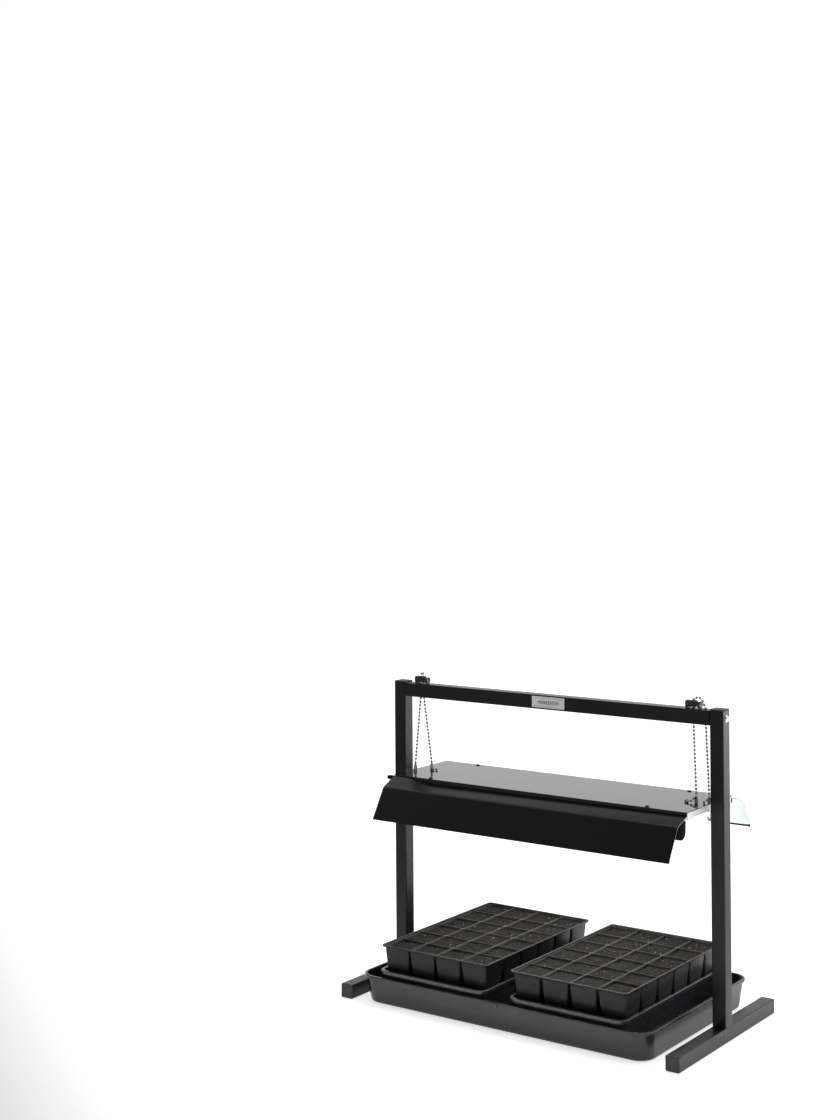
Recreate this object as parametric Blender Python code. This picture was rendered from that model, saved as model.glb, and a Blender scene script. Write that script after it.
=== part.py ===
"""Tabletop grow-light stand: a square-tube frame, a hooded 2 ft light hung on ball chains,
a drip tray, and two self-watering trays with 24-cell planting inserts.

Metres, +Z up. X runs along the crossbar, -Y is the front. The origin is on the bench, midway
between the two feet."""

import math

import bmesh
import bpy
from mathutils import Matrix, Vector

MM = 0.001
GAP = 0.3 * MM  # clearance between pieces that touch

# ---- driving dimensions -------------------------------------------------------------------
TUBE = 25.4 * MM  # square tube, outside
TUBE_WALL = 1.5 * MM
STAND_WIDTH = 690 * MM  # over the outer faces of the uprights
STAND_HEIGHT = 560 * MM
FOOT_LENGTH = 364 * MM
CAP_HEAD = 2.2 * MM
BAR_TOP = 557.2 * MM
BOLT_Z = 544.0 * MM

LIGHT_X = 6 * MM  # the light hangs a little to the right and back of the frame's middle
LIGHT_Y = 7 * MM
LIGHT_TOP = 395.5 * MM
LIGHT_LENGTH = 608 * MM
COVER_DEPTH = 172 * MM
SHEET = 1.2 * MM
PAN_DEPTH = 168 * MM
PAN_HEIGHT = 12 * MM
WING_BEND = {"front": (119.5 * MM, 377.3 * MM), "back": (128.0 * MM, 383.0 * MM)}
WING_LIP = {"front": (152.5 * MM, 324.3 * MM), "back": (159.0 * MM, 329.5 * MM)}
WING_ROUND = {"front": 7 * MM, "back": 22 * MM}  # how far from its bend each wing starts to turn
LAMP_LENGTH = 549 * MM
LAMP_RADIUS = 8 * MM
LAMP_Y = 71 * MM  # each lamp's distance from the light's middle
LAMP_Z = 358 * MM

EYE_SPOTS = {  # where each chain's end is hooked to the cover, in X and Y
    ("left", "inner"): (-272 * MM, 7 * MM), ("left", "outer"): (-293 * MM, -17 * MM),
    ("right", "inner"): (284 * MM, 7 * MM), ("right", "outer"): (305 * MM, 14 * MM),
}
CHAIN_RADIUS = 2.4 * MM
LOCK_LEFT_X = -288 * MM  # chain passage of each lock
LOCK_RIGHT_X = 283.5 * MM
LOOSE_STRAND_X = 306.5 * MM  # second hole for the right chain, outside its lock
STRAND_SIDE = 2.7 * MM  # the left lock holds two strands, this far front and back
BUTTON_TRAVEL = 4.5 * MM

TRAY_CENTRE = (-7 * MM, 10 * MM)
TRAY_RIM = (593 * MM, 391 * MM)
TRAY_BASE = (577 * MM, 367 * MM)
TRAY_HEIGHT = 51 * MM
RESERVOIR_X = (-152 * MM, 125 * MM)
RESERVOIR_Y = 11 * MM
RESERVOIR_RIM = (231 * MM, 370 * MM)
RESERVOIR_BASE = (211 * MM, 350 * MM)
RESERVOIR_TOP = 61 * MM
INSERT_Y = 15 * MM
INSERT_RIM = (230 * MM, 358 * MM)
INSERT_TOP = 104 * MM
CELLS = (4, 6)
CELL_PITCH = (55.5 * MM, 58 * MM)
CELL_TOP = (53.5 * MM, 56 * MM)
CELL_BASE = (43 * MM, 45.5 * MM)

# ---- heights and places that follow from them ---------------------------------------------
HALF = TUBE / 2
UPRIGHT_X = STAND_WIDTH / 2 - HALF
BAR_Z = BAR_TOP - HALF
BAR_UNDER = BAR_TOP - TUBE
PAN_TOP = LIGHT_TOP - SHEET - GAP
PAN_UNDER = PAN_TOP - PAN_HEIGHT
HOLDER_FACE = LAMP_LENGTH / 2 + 0.5 * MM
TRAY_FLOOR = 2.3 * MM
RESERVOIR_UNDER = TRAY_FLOOR + GAP
RESERVOIR_FLOOR = RESERVOIR_UNDER + 1.5 * MM
PLATFORM_TOP = 43 * MM
MAT_TOP = PLATFORM_TOP + GAP + 2 * MM
INSERT_UNDER = MAT_TOP + GAP
EYE_TOP = LIGHT_TOP + GAP + 9 * MM

SIDES = (("left", -1), ("right", 1))
ENDS = (("front", -1), ("back", 1))


# ---- scene, materials and placing ---------------------------------------------------------
def clear_scene():
    for obj in list(bpy.data.objects):
        bpy.data.objects.remove(obj, do_unlink=True)


def material(name, colour, roughness, metallic=0.0):
    mat = bpy.data.materials.new(name)
    mat.use_nodes = True
    shader = mat.node_tree.nodes["Principled BSDF"]
    shader.inputs["Base Color"].default_value = (*colour, 1.0)
    shader.inputs["Roughness"].default_value = roughness
    shader.inputs["Metallic"].default_value = metallic
    return mat


LOOKS = {
    "black_paint": ((0.016, 0.016, 0.017), 0.42, 0.0),
    "black_gloss": ((0.012, 0.012, 0.013), 0.12, 0.0),
    "white_paint": ((0.85, 0.86, 0.86), 0.40, 0.0),
    "black_plastic": ((0.014, 0.014, 0.014), 0.55, 0.0),
    "tray_plastic": ((0.020, 0.020, 0.021), 0.30, 0.0),
    "steel": ((0.62, 0.62, 0.63), 0.25, 1.0),
    "lamp_glass": ((0.90, 0.90, 0.88), 0.20, 0.0),
    "mat_felt": ((0.32, 0.32, 0.31), 0.95, 0.0),
}


def empty(name, location, parent=None):
    frame = bpy.data.objects.new(name, None)
    bpy.context.collection.objects.link(frame)
    frame.parent = parent
    frame.location = location
    return frame


def place(name, bm, look, body, location=(0, 0, 0), smooth=False):
    """One named sub-part: its mesh about its own origin, put at a world location."""
    bmesh.ops.remove_doubles(bm, verts=bm.verts, dist=1e-6)
    bmesh.ops.recalc_face_normals(bm, faces=bm.faces)
    for face in bm.faces:
        face.smooth = smooth
    mesh = bpy.data.meshes.new(name)
    bm.to_mesh(mesh)
    bm.free()
    obj = bpy.data.objects.new(name, mesh)
    bpy.context.collection.objects.link(obj)
    obj.data.materials.append(material(name + "_" + look, *LOOKS[look]))
    obj.parent = body
    obj.location = Vector(location) - world_of(body)
    return obj


def world_of(body):
    total = Vector((0, 0, 0))
    while body:
        total += body.location
        body = body.parent
    return total


def cut(obj, bm, where):
    """Takes the shape bm away from obj. The cutter stays as a hidden wire object."""
    mesh = bpy.data.meshes.new("cutter")
    bmesh.ops.recalc_face_normals(bm, faces=bm.faces)
    bm.to_mesh(mesh)
    bm.free()
    cutter = bpy.data.objects.new("cutter", mesh)
    bpy.context.collection.objects.link(cutter)
    cutter.parent = obj.parent
    cutter.location = Vector(where) - world_of(obj.parent)
    cutter.hide_render = True
    cutter.display_type = "WIRE"
    step = obj.modifiers.new("cut", "BOOLEAN")
    step.operation = "DIFFERENCE"
    step.solver = "EXACT"
    step.object = cutter


# ---- shapes -------------------------------------------------------------------------------
def block(size_x, size_y, size_z):
    bm = bmesh.new()
    bmesh.ops.create_cube(bm, size=1.0)
    bmesh.ops.scale(bm, vec=(size_x, size_y, size_z), verts=bm.verts)
    return bm


def soft_block(size_x, size_y, size_z, radius):
    """A block whose edges are all rounded."""
    bm = block(size_x, size_y, size_z)
    bmesh.ops.bevel(
        bm, geom=bm.edges[:], offset=radius, segments=2, profile=0.5, affect="EDGES"
    )
    return bm


def rod(radius, length, axis="Z", sides=24, radius_far=None):
    """A cylinder or cone along an axis, centred on its middle."""
    bm = bmesh.new()
    far = radius if radius_far is None else radius_far
    bmesh.ops.create_cone(
        bm, cap_ends=True, segments=sides, radius1=radius, radius2=far, depth=length
    )
    turn = {"X": Matrix.Rotation(math.pi / 2, 3, "Y"), "Y": Matrix.Rotation(-math.pi / 2, 3, "X")}
    if axis in turn:
        bmesh.ops.rotate(bm, matrix=turn[axis], verts=bm.verts)
    return bm


def corner_ring(half_x, half_y, radius, z, steps):
    """Points of a rectangle with round corners, counter-clockwise."""
    points = []
    for turn, (side_x, side_y) in enumerate(((1, 1), (-1, 1), (-1, -1), (1, -1))):
        for step in range(steps + 1):
            angle = math.pi / 2 * (turn + step / steps)
            points.append((
                side_x * (half_x - radius) + radius * math.cos(angle),
                side_y * (half_y - radius) + radius * math.sin(angle),
                z,
            ))
    return points


def stack_rings(rings, closed=False):
    """Skins a stack of rings with equal point counts, then caps both ends, or joins them."""
    bm = bmesh.new()
    layers = [[bm.verts.new(point) for point in ring] for ring in rings]
    count = len(layers[0])
    pairs = list(zip(layers, layers[1:]))
    if closed:
        pairs.append((layers[-1], layers[0]))
    for low, high in pairs:
        for i in range(count):
            j = (i + 1) % count
            bm.faces.new((low[i], low[j], high[j], high[i]))
    if not closed:
        bm.faces.new(layers[0][::-1])
        bm.faces.new(layers[-1])
    return bm


def square_tube(length, axis):
    """A square tube with rounded corners and open ends, centred on its middle."""
    outer, inner = HALF, HALF - TUBE_WALL
    rings = [
        corner_ring(outer, outer, 2.0 * MM, -length / 2, 3),
        corner_ring(outer, outer, 2.0 * MM, length / 2, 3),
        corner_ring(inner, inner, 0.8 * MM, length / 2, 3),
        corner_ring(inner, inner, 0.8 * MM, -length / 2, 3),
    ]
    bm = stack_rings(rings, closed=True)
    turn = {"X": Matrix.Rotation(math.pi / 2, 3, "Y"), "Y": Matrix.Rotation(-math.pi / 2, 3, "X")}
    if axis in turn:
        bmesh.ops.rotate(bm, matrix=turn[axis], verts=bm.verts)
    return bm


def tube_plug(length_out, length_in, toward):
    """A plastic cap for an open tube end: a square head and a plug. Origin at the head's inner face."""
    head, plug = HALF, HALF - TUBE_WALL - GAP
    rings = [
        corner_ring(plug - 1 * MM, plug - 1 * MM, 0.8 * MM, -length_in, 3),
        corner_ring(plug, plug, 0.8 * MM, -length_in + 2 * MM, 3),
        corner_ring(plug, plug, 0.8 * MM, 0, 3),
        corner_ring(head, head, 2.0 * MM, 0, 3),
        corner_ring(head, head, 2.0 * MM, length_out - 0.8 * MM, 3),
        corner_ring(head - 0.8 * MM, head - 0.8 * MM, 1.4 * MM, length_out, 3),
    ]
    bm = stack_rings(rings)
    if toward.z == 0:
        bmesh.ops.rotate(bm, matrix=Vector((0, 0, 1)).rotation_difference(toward).to_matrix(),
                         verts=bm.verts)
    return bm


def swept_outline(outline, length):
    """An outline in the YZ plane, run along X and capped."""
    rings = [[(x, y, z) for y, z in outline] for x in (-length / 2, length / 2)]
    return stack_rings(rings)


def path_tube(name, points, radius, look, body):
    """A round tube through a list of world points, as a bevelled curve."""
    curve = bpy.data.curves.new(name, "CURVE")
    curve.dimensions = "3D"
    curve.bevel_depth = radius
    curve.bevel_resolution = 2
    curve.use_fill_caps = True
    spline = curve.splines.new("POLY")
    spline.points.add(len(points) - 1)
    origin = Vector(points[0])
    for spot, point in zip(spline.points, points):
        spot.co = (*(Vector(point) - origin), 1.0)
    obj = bpy.data.objects.new(name, curve)
    bpy.context.collection.objects.link(obj)
    obj.data.materials.append(material(name + "_" + look, *LOOKS[look]))
    obj.parent = body
    obj.location = origin - world_of(body)
    return obj


# ---- the stand ----------------------------------------------------------------------------
def make_stand(body):
    for side, sign in SIDES:
        x = sign * UPRIGHT_X
        foot = FOOT_LENGTH - 2 * (CAP_HEAD + GAP)
        place(f"foot_{side}", square_tube(foot, "Y"), "black_paint", body, (x, 0, HALF))
        for end, way in ENDS:
            plug = tube_plug(CAP_HEAD, 14 * MM, Vector((0, way, 0)))
            place(f"foot_cap_{side}_{end}", plug, "black_plastic", body,
                  (x, way * (foot / 2 + GAP), HALF))
        make_upright(side, sign, x, body)
    make_crossbar(body)


def make_upright(side, sign, x, body):
    low = TUBE + GAP
    high = STAND_HEIGHT - CAP_HEAD - GAP
    upright = place(f"upright_{side}", square_tube(high - low, "Z"), "black_paint", body,
                    (x, 0, (low + high) / 2))
    cut(upright, rod(3.4 * MM, TUBE * 2, "X"), (x, 0, BOLT_Z))
    place(f"upright_cap_{side}", tube_plug(CAP_HEAD, 8 * MM, Vector((0, 0, 1))), "black_plastic",
          body, (x, 0, high + GAP))
    place(f"frame_bolt_{side}", frame_bolt(sign), "steel", body,
          (sign * (STAND_WIDTH / 2 + GAP), 0, BOLT_Z))
    plug_length = 8 * MM  # it ends short of the outer chain hole
    plug = place(f"bar_plug_{side}", block(plug_length, 21.6 * MM, 21.6 * MM), "black_plastic",
                 body, (sign * (UPRIGHT_X - HALF - 2 * GAP - plug_length / 2), 0, BAR_Z))
    cut(plug, rod(3.3 * MM, plug_length * 2, "X"), (plug.location.x, 0, BOLT_Z))


def frame_bolt(sign):
    """Button head outside the upright, shank through it into the crossbar's plug."""
    head, shank = 5.6 * MM, 3.0 * MM
    profile = ((-34 * MM, shank), (0, shank), (0, head), (1.2 * MM, head), (2.6 * MM, head * 0.72),
               (3.1 * MM, head * 0.36))
    sides = 24
    rings = [
        [(sign * x, r * math.cos(2 * math.pi * i / sides), r * math.sin(2 * math.pi * i / sides))
         for i in range(sides)]
        for x, r in profile
    ]
    return stack_rings(rings)


def make_crossbar(body):
    length = 2 * (UPRIGHT_X - HALF - GAP)
    bar = place("crossbar", square_tube(length, "X"), "black_paint", body, (0, 0, BAR_Z))
    cut(bar, block(7 * MM, 12.5 * MM, TUBE * 2), (LOCK_LEFT_X, 0, BAR_Z))
    for x in (LOCK_RIGHT_X, LOOSE_STRAND_X):
        cut(bar, rod(3.4 * MM, TUBE * 2), (x, 0, BAR_Z))
    place("name_plate", soft_block(68 * MM, 0.8 * MM, 20 * MM, 0.2 * MM), "steel", body,
          (0, -HALF - GAP - 0.4 * MM, BAR_Z + 0.5 * MM))


# ---- chain locks and chains ---------------------------------------------------------------
LOCK_LEFT_END = -13 * MM  # from the chain passage
LOCK_MOUTH = 5.5 * MM
LOCK_HEAD = (10.2 * MM, 14.6 * MM)
LOCK_DEPTH = 16 * MM
LOCK_UNDER = BAR_TOP + 2 * MM
LOCK_TOP = 571 * MM
LOCK_MID = (LOCK_UNDER + LOCK_TOP) / 2
LOCK_BORE = (13.6 * MM, 8.4 * MM)  # the button's bore, in Y and Z
PASSAGE = (5.6 * MM, 10.6 * MM)  # in X and Y


def make_lock(side, x, stand, button):
    """A chain lock on the crossbar: body, sprung push button, and the spring behind it."""
    length = LOCK_MOUTH - LOCK_LEFT_END
    middle = x + (LOCK_MOUTH + LOCK_LEFT_END) / 2
    shell = place(f"chain_lock_{side}", lock_shell(length), "black_plastic", stand,
                  (middle, 0, LOCK_MID))
    bore_start = LOCK_LEFT_END + 1.6 * MM
    bore_length = LOCK_MOUTH - bore_start + 5 * MM
    cut(shell, block(bore_length, *LOCK_BORE), (x + bore_start + bore_length / 2, 0, LOCK_MID))
    cut(shell, block(*PASSAGE, 40 * MM), (x, 0, LOCK_MID))

    place(f"lock_button_{side}", lock_button(), "black_plastic", button, (x, 0, LOCK_MID))
    start = bore_start + GAP
    end = -5.6 * MM - GAP
    place(f"lock_spring_{side}", spring(end - start, 3.0 * MM, 0.35 * MM, 2.5), "steel", stand,
          (x + start, 0, LOCK_MID), smooth=True)


def lock_shell(length):
    """The lock's body: rounded, with one foot at its closed end that stands on the bar."""
    tall = LOCK_TOP - LOCK_UNDER
    foot = LOCK_UNDER - BAR_TOP - GAP
    ease = 1.6 * MM
    outline = [
        (-length / 2 + ease, tall / 2), (-length / 2, tall / 2 - ease),
        (-length / 2, -tall / 2 - foot), (-length / 2 + 5.5 * MM, -tall / 2 - foot),
        (-length / 2 + 6.5 * MM, -tall / 2), (length / 2, -tall / 2),
        (length / 2, tall / 2 - ease), (length / 2 - ease, tall / 2),
    ]
    rings = [[(px, y, pz) for px, pz in outline] for y in (-LOCK_DEPTH / 2, LOCK_DEPTH / 2)]
    return stack_rings(rings)


def lock_button():
    """A flat plunger with a slot for the chain, a neck, and a head that stands on the bar."""
    wide, tall = LOCK_BORE[0] - 2 * GAP, LOCK_BORE[1] - 2 * GAP
    slot_x = (-PASSAGE[0] / 2, PASSAGE[0] / 2 + BUTTON_TRAVEL)
    slot_y = PASSAGE[1] / 2
    inner_end, head_start, head_end = -5.6 * MM, *LOCK_HEAD
    head_y = LOCK_DEPTH / 2
    head_z = (BAR_TOP + GAP - LOCK_MID, 569 * MM - LOCK_MID)
    outline = [
        (inner_end, -wide / 2), (head_start, -wide / 2), (head_start, -head_y),
        (head_end - 1 * MM, -head_y), (head_end, -head_y + 1 * MM),
        (head_end, head_y - 1 * MM), (head_end - 1 * MM, head_y), (head_start, head_y),
        (head_start, wide / 2), (inner_end, wide / 2),
    ]
    bm = bmesh.new()
    bottom = [bm.verts.new((px, py, -tall / 2)) for px, py in outline]
    top = [bm.verts.new((px, py, tall / 2)) for px, py in outline]
    hole_low = [bm.verts.new((px, py, -tall / 2)) for px, py in slot_corners(slot_x, slot_y)]
    hole_high = [bm.verts.new((px, py, tall / 2)) for px, py in slot_corners(slot_x, slot_y)]
    for ring_low, ring_high in ((bottom, top), (hole_low, hole_high)):
        for i in range(len(ring_low)):
            j = (i + 1) % len(ring_low)
            bm.faces.new((ring_low[i], ring_low[j], ring_high[j], ring_high[i]))
    for rim, hole in ((bottom, hole_low), (top, hole_high)):
        edges = ring_edges(bm, rim) + ring_edges(bm, hole)
        bmesh.ops.triangle_fill(bm, use_beauty=True, use_dissolve=False, edges=edges)
    stretch_head(bm, head_start, tall / 2, head_z)
    return bm


def slot_corners(slot_x, half_y):
    return ((slot_x[0], -half_y), (slot_x[1], -half_y), (slot_x[1], half_y), (slot_x[0], half_y))


def ring_edges(bm, ring):
    count = len(ring)
    return [bm.edges.get((ring[i], ring[(i + 1) % count])) for i in range(count)]


def stretch_head(bm, head_start, half_tall, head_z):
    """Cuts the plunger at the head and pulls the head up and down to its own height."""
    whole = bm.verts[:] + bm.edges[:] + bm.faces[:]
    bmesh.ops.bisect_plane(bm, geom=whole, plane_co=(head_start, 0, 0), plane_no=(1, 0, 0))
    head_faces = [f for f in bm.faces if f.calc_center_median().x > head_start
                  and abs(f.normal.z) > 0.9]
    for way, height in ((1, head_z[1]), (-1, head_z[0])):
        faces = [f for f in head_faces if f.is_valid and f.calc_center_median().z * way > 0]
        grown = bmesh.ops.extrude_face_region(bm, geom=faces)
        bmesh.ops.delete(bm, geom=faces, context="FACES_ONLY")
        moved = [v for v in grown["geom"] if isinstance(v, bmesh.types.BMVert)]
        bmesh.ops.translate(bm, vec=(0, 0, height - way * half_tall), verts=moved)


def spring(length, radius, wire, turns):
    """A short coil along +X from the origin."""
    steps_per_turn, sides = 16, 6
    steps = int(steps_per_turn * turns)
    rings = []
    for step in range(steps + 1):
        angle = 2 * math.pi * step / steps_per_turn
        share = step / steps
        x = wire + (length - 2 * wire) * share
        out = Vector((0, math.cos(angle), math.sin(angle)))
        rings.append([
            Vector((x, 0, 0)) + out * (radius + wire * math.cos(2 * math.pi * k / sides))
            + Vector((wire * math.sin(2 * math.pi * k / sides), 0, 0))
            for k in range(sides)
        ])
    return stack_rings(rings)


def arc(centre_x, centre_z, half_span, rise, y_from, y_to, steps):
    """A loop of chain over a lock, from one strand to the other."""
    points = []
    for step in range(steps + 1):
        angle = math.pi * (1 - step / steps)
        share = step / steps
        points.append((centre_x + half_span * math.cos(angle), y_from + (y_to - y_from) * share,
                       centre_z + rise * math.sin(angle)))
    return points


def make_chains(body):
    """The chains through bar and locks, and the four strands below that carry the light."""
    foot = BAR_UNDER - 1 * MM
    neck = LOCK_TOP + 3 * MM
    left_loop = arc(LOCK_LEFT_X, neck, 0.0, 4.5 * MM, -STRAND_SIDE, STRAND_SIDE, 8)
    left = [(LOCK_LEFT_X, -STRAND_SIDE, foot), *left_loop, (LOCK_LEFT_X, STRAND_SIDE, foot)]
    path_tube("chain_left_loop", left, CHAIN_RADIUS, "steel", body)

    middle = (LOCK_RIGHT_X + LOOSE_STRAND_X) / 2
    span = (LOOSE_STRAND_X - LOCK_RIGHT_X) / 2
    right_loop = arc(middle, LOCK_TOP - 2 * MM, span, 10 * MM, 0, 0, 12)
    right = [(LOCK_RIGHT_X, 0, foot), *right_loop, (LOOSE_STRAND_X, 0, foot)]
    path_tube("chain_right_loop", right, CHAIN_RADIUS, "steel", body)

    starts = {
        ("left", "inner"): (LOCK_LEFT_X, STRAND_SIDE), ("left", "outer"): (LOCK_LEFT_X, -STRAND_SIDE),
        ("right", "inner"): (LOCK_RIGHT_X, 0), ("right", "outer"): (LOOSE_STRAND_X, 0),
    }
    for (side, place_name), eye in EYE_SPOTS.items():
        top = (*starts[side, place_name], foot - GAP)
        low = (*eye, EYE_TOP + 0.5 * MM)
        path_tube(f"chain_{side}_{place_name}", [top, low], CHAIN_RADIUS, "steel", body)


# ---- the light ----------------------------------------------------------------------------
SCREW_X = 225 * MM
SCREW_Y = 78 * MM
INLET_Y = -77 * MM
SCREW_RADIUS = 1.8 * MM


def light_spot(x, y, z):
    return (LIGHT_X + x, LIGHT_Y + y, z)


def make_light(body):
    cover = place("light_cover", block(LIGHT_LENGTH, COVER_DEPTH, SHEET), "black_gloss", body,
                  light_spot(0, 0, LIGHT_TOP - SHEET / 2))
    pan = place("light_housing", pan_shell(), "white_paint", body, light_spot(0, 0, PAN_UNDER))
    for side, sign in SIDES:
        for end, way in ENDS:
            x, y = sign * SCREW_X, way * SCREW_Y
            for sheet in (cover, pan):
                cut(sheet, rod(SCREW_RADIUS + GAP, 60 * MM, sides=16), light_spot(x, y, PAN_TOP))
            place(f"cover_screw_{side}_{end}", cover_screw(), "black_paint", body,
                  light_spot(x, y, LIGHT_TOP + GAP))
            make_lampholder(side, sign, end, way, body)
    for end, way in ENDS:
        place(f"wing_{end}", swept_outline(wing_outline(end, way), LIGHT_LENGTH), "black_paint", body,
              light_spot(0, 0, 0))
    make_ballast(body)
    place("power_inlet", power_inlet(), "black_plastic", body,
          light_spot(1 * MM - GAP - LIGHT_LENGTH / 2, INLET_Y, PAN_UNDER + 5.4 * MM))
    for (side, place_name), eye in EYE_SPOTS.items():
        place(f"chain_eye_{side}_{place_name}", chain_eye(), "steel", body, (*eye, LIGHT_TOP + GAP))


def pan_shell():
    """A shallow pan, open at the top, that the cover closes. Origin on its underside."""
    out_x, out_y, wall = LIGHT_LENGTH / 2 - 1 * MM, PAN_DEPTH / 2, SHEET
    rings = [
        corner_ring(out_x, out_y, 2 * MM, 0, 2),
        corner_ring(out_x, out_y, 2 * MM, PAN_HEIGHT, 2),
        corner_ring(out_x - wall, out_y - wall, 1 * MM, PAN_HEIGHT, 2),
        corner_ring(out_x - wall, out_y - wall, 1 * MM, wall, 2),
    ]
    return stack_rings(rings)


def cover_screw():
    """A pan-head screw: the head on the cover, the shank through cover and pan."""
    profile = ((-15 * MM, SCREW_RADIUS), (0, SCREW_RADIUS), (0, 4.0 * MM), (1.4 * MM, 3.4 * MM),
               (2.2 * MM, 1.6 * MM))
    sides = 16
    rings = [
        [(r * math.cos(2 * math.pi * i / sides), r * math.sin(2 * math.pi * i / sides), z)
         for i in range(sides)]
        for z, r in profile
    ]
    return stack_rings(rings)


def wing_outline(end, way):
    """A bent reflector wing in section: a flange on the pan's side, a sloping top panel, a round
    bend, a steep lower panel and a folded lip."""
    start = Vector((PAN_DEPTH / 2 + GAP, PAN_UNDER))
    shoulder = Vector((PAN_DEPTH / 2 + GAP, LIGHT_TOP - 7 * MM))
    bend, lip = Vector(WING_BEND[end]), Vector(WING_LIP[end])
    hem = lip + Vector((-4 * MM, -0.6 * MM))
    line = [start, shoulder, *rounded(shoulder, bend, lip, WING_ROUND[end], 5), lip, hem]
    sheet = [*line, *reversed(offset_line(line, SHEET))]
    return [(way * p.x, p.y) for p in sheet]


def rounded(before, corner, after, back_off, steps):
    """A corner replaced by a smooth bend that starts back_off away from it."""
    first = corner + (before - corner).normalized() * back_off
    last = corner + (after - corner).normalized() * back_off
    shares = [step / steps for step in range(steps + 1)]
    return [first * (1 - s) ** 2 + corner * 2 * s * (1 - s) + last * s ** 2 for s in shares]


def offset_line(line, distance):
    """The same line moved sideways, to the right of its run, which is under the panels."""
    moved = []
    for i, point in enumerate(line):
        ahead = line[min(i + 1, len(line) - 1)] - point
        behind = point - line[max(i - 1, 0)]
        parts = [v.normalized() for v in (ahead, behind) if v.length > 0]
        normals = [Vector((v.y, -v.x)) for v in parts]
        mean = sum(normals, Vector((0, 0))).normalized()
        moved.append(point + mean * (distance / max(0.35, mean.dot(normals[0]))))
    return moved


def make_lampholder(side, sign, end, way, body):
    thick, radius = 12 * MM, 14 * MM
    top = PAN_UNDER - GAP - LAMP_Z
    arc_steps = 10
    outline = [(radius, top), (-radius, top)]
    for step in range(arc_steps + 1):
        angle = math.pi * (1 + step / arc_steps)
        outline.append((radius * math.cos(angle), radius * math.sin(angle)))
    holder = place(f"lampholder_{side}_{end}", swept_outline(outline, thick), "black_plastic", body,
                   light_spot(sign * (HOLDER_FACE + thick / 2), way * LAMP_Y, LAMP_Z))
    pocket = 9 * MM
    cut(holder, rod(5 * MM, 2 * pocket, "X"), light_spot(sign * HOLDER_FACE, way * LAMP_Y, LAMP_Z))


def make_ballast(body):
    """The ballast under the housing, and the folded cover around it."""
    long, wide, tall = 380 * MM, 84 * MM, 27 * MM
    top = PAN_UNDER - GAP
    outer = [(-wide / 2, 0), (-wide / 2 + 8 * MM, -tall), (wide / 2 - 8 * MM, -tall), (wide / 2, 0)]
    wall = SHEET
    inner = [(wide / 2 - wall, 0), (wide / 2 - 8 * MM - wall, wall - tall),
             (-wide / 2 + 8 * MM + wall, wall - tall), (-wide / 2 + wall, 0)]
    place("ballast_cover", swept_outline(outer + inner, long), "white_paint", body,
          light_spot(0, 0, top))
    place("ballast", soft_block(230 * MM, 40 * MM, 22 * MM, 1.5 * MM), "steel", body,
          light_spot(0, 0, top - 12 * MM))


def power_inlet():
    """A short round barrel for the plug-in mains lead, along -X from its flange."""
    profile = ((0, 5.2 * MM), (-2.5 * MM, 5.2 * MM), (-2.5 * MM, 4.2 * MM), (-14 * MM, 4.2 * MM),
               (-20 * MM, 3.8 * MM), (-22 * MM, 2.6 * MM))
    sides = 20
    rings = [
        [(x, r * math.cos(2 * math.pi * i / sides), r * math.sin(2 * math.pi * i / sides))
         for i in range(sides)]
        for x, r in profile
    ]
    return stack_rings(rings)


def chain_eye():
    """An upright tab with a round top and a hole for the chain's coupling."""
    half, tall, thick, hole = 3.6 * MM, 9 * MM, 1.4 * MM, 1.8 * MM
    steps = 16
    centre = tall - half
    outer, inner = [], []
    for step in range(steps):
        angle = 2 * math.pi * (step + 0.5) / steps
        along, up = math.cos(angle), math.sin(angle)
        reach = half if up > 0 else min(half / max(abs(along), 0.01), centre / max(-up, 0.01))
        outer.append((reach * along, centre + reach * up))
        inner.append((hole * along, centre + hole * up))
    rings = [
        [(x, -thick / 2, z) for x, z in outer], [(x, thick / 2, z) for x, z in outer],
        [(x, thick / 2, z) for x, z in inner], [(x, -thick / 2, z) for x, z in inner],
    ]
    return stack_rings(rings, closed=True)


def make_lamp(end, way, body):
    """A 2 ft T5 tube with a pair of contact pins at each end, drawn as one bridged tongue. It turns
    on its own axis in the lampholders."""
    tongue, spacing, reach, steps = 1.1 * MM, 4.75 * MM, 6.5 * MM, 5
    flat = corner_ring(tongue, spacing / 2 + tongue, tongue, 0, steps)
    sides = len(flat)
    turns = [2 * math.pi * i / sides for i in range(sides)]
    circle = [(LAMP_RADIUS * math.cos(turn), LAMP_RADIUS * math.sin(turn)) for turn in turns]
    half = LAMP_LENGTH / 2
    sections = ((-half - reach, flat), (-half, flat), (-half, circle), (half, circle),
                (half, flat), (half + reach, flat))
    rings = [[(x, point[0], point[1]) for point in section] for x, section in sections]
    place(f"lamp_{end}", stack_rings(rings), "lamp_glass", body,
          light_spot(0, way * LAMP_Y, LAMP_Z))


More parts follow.
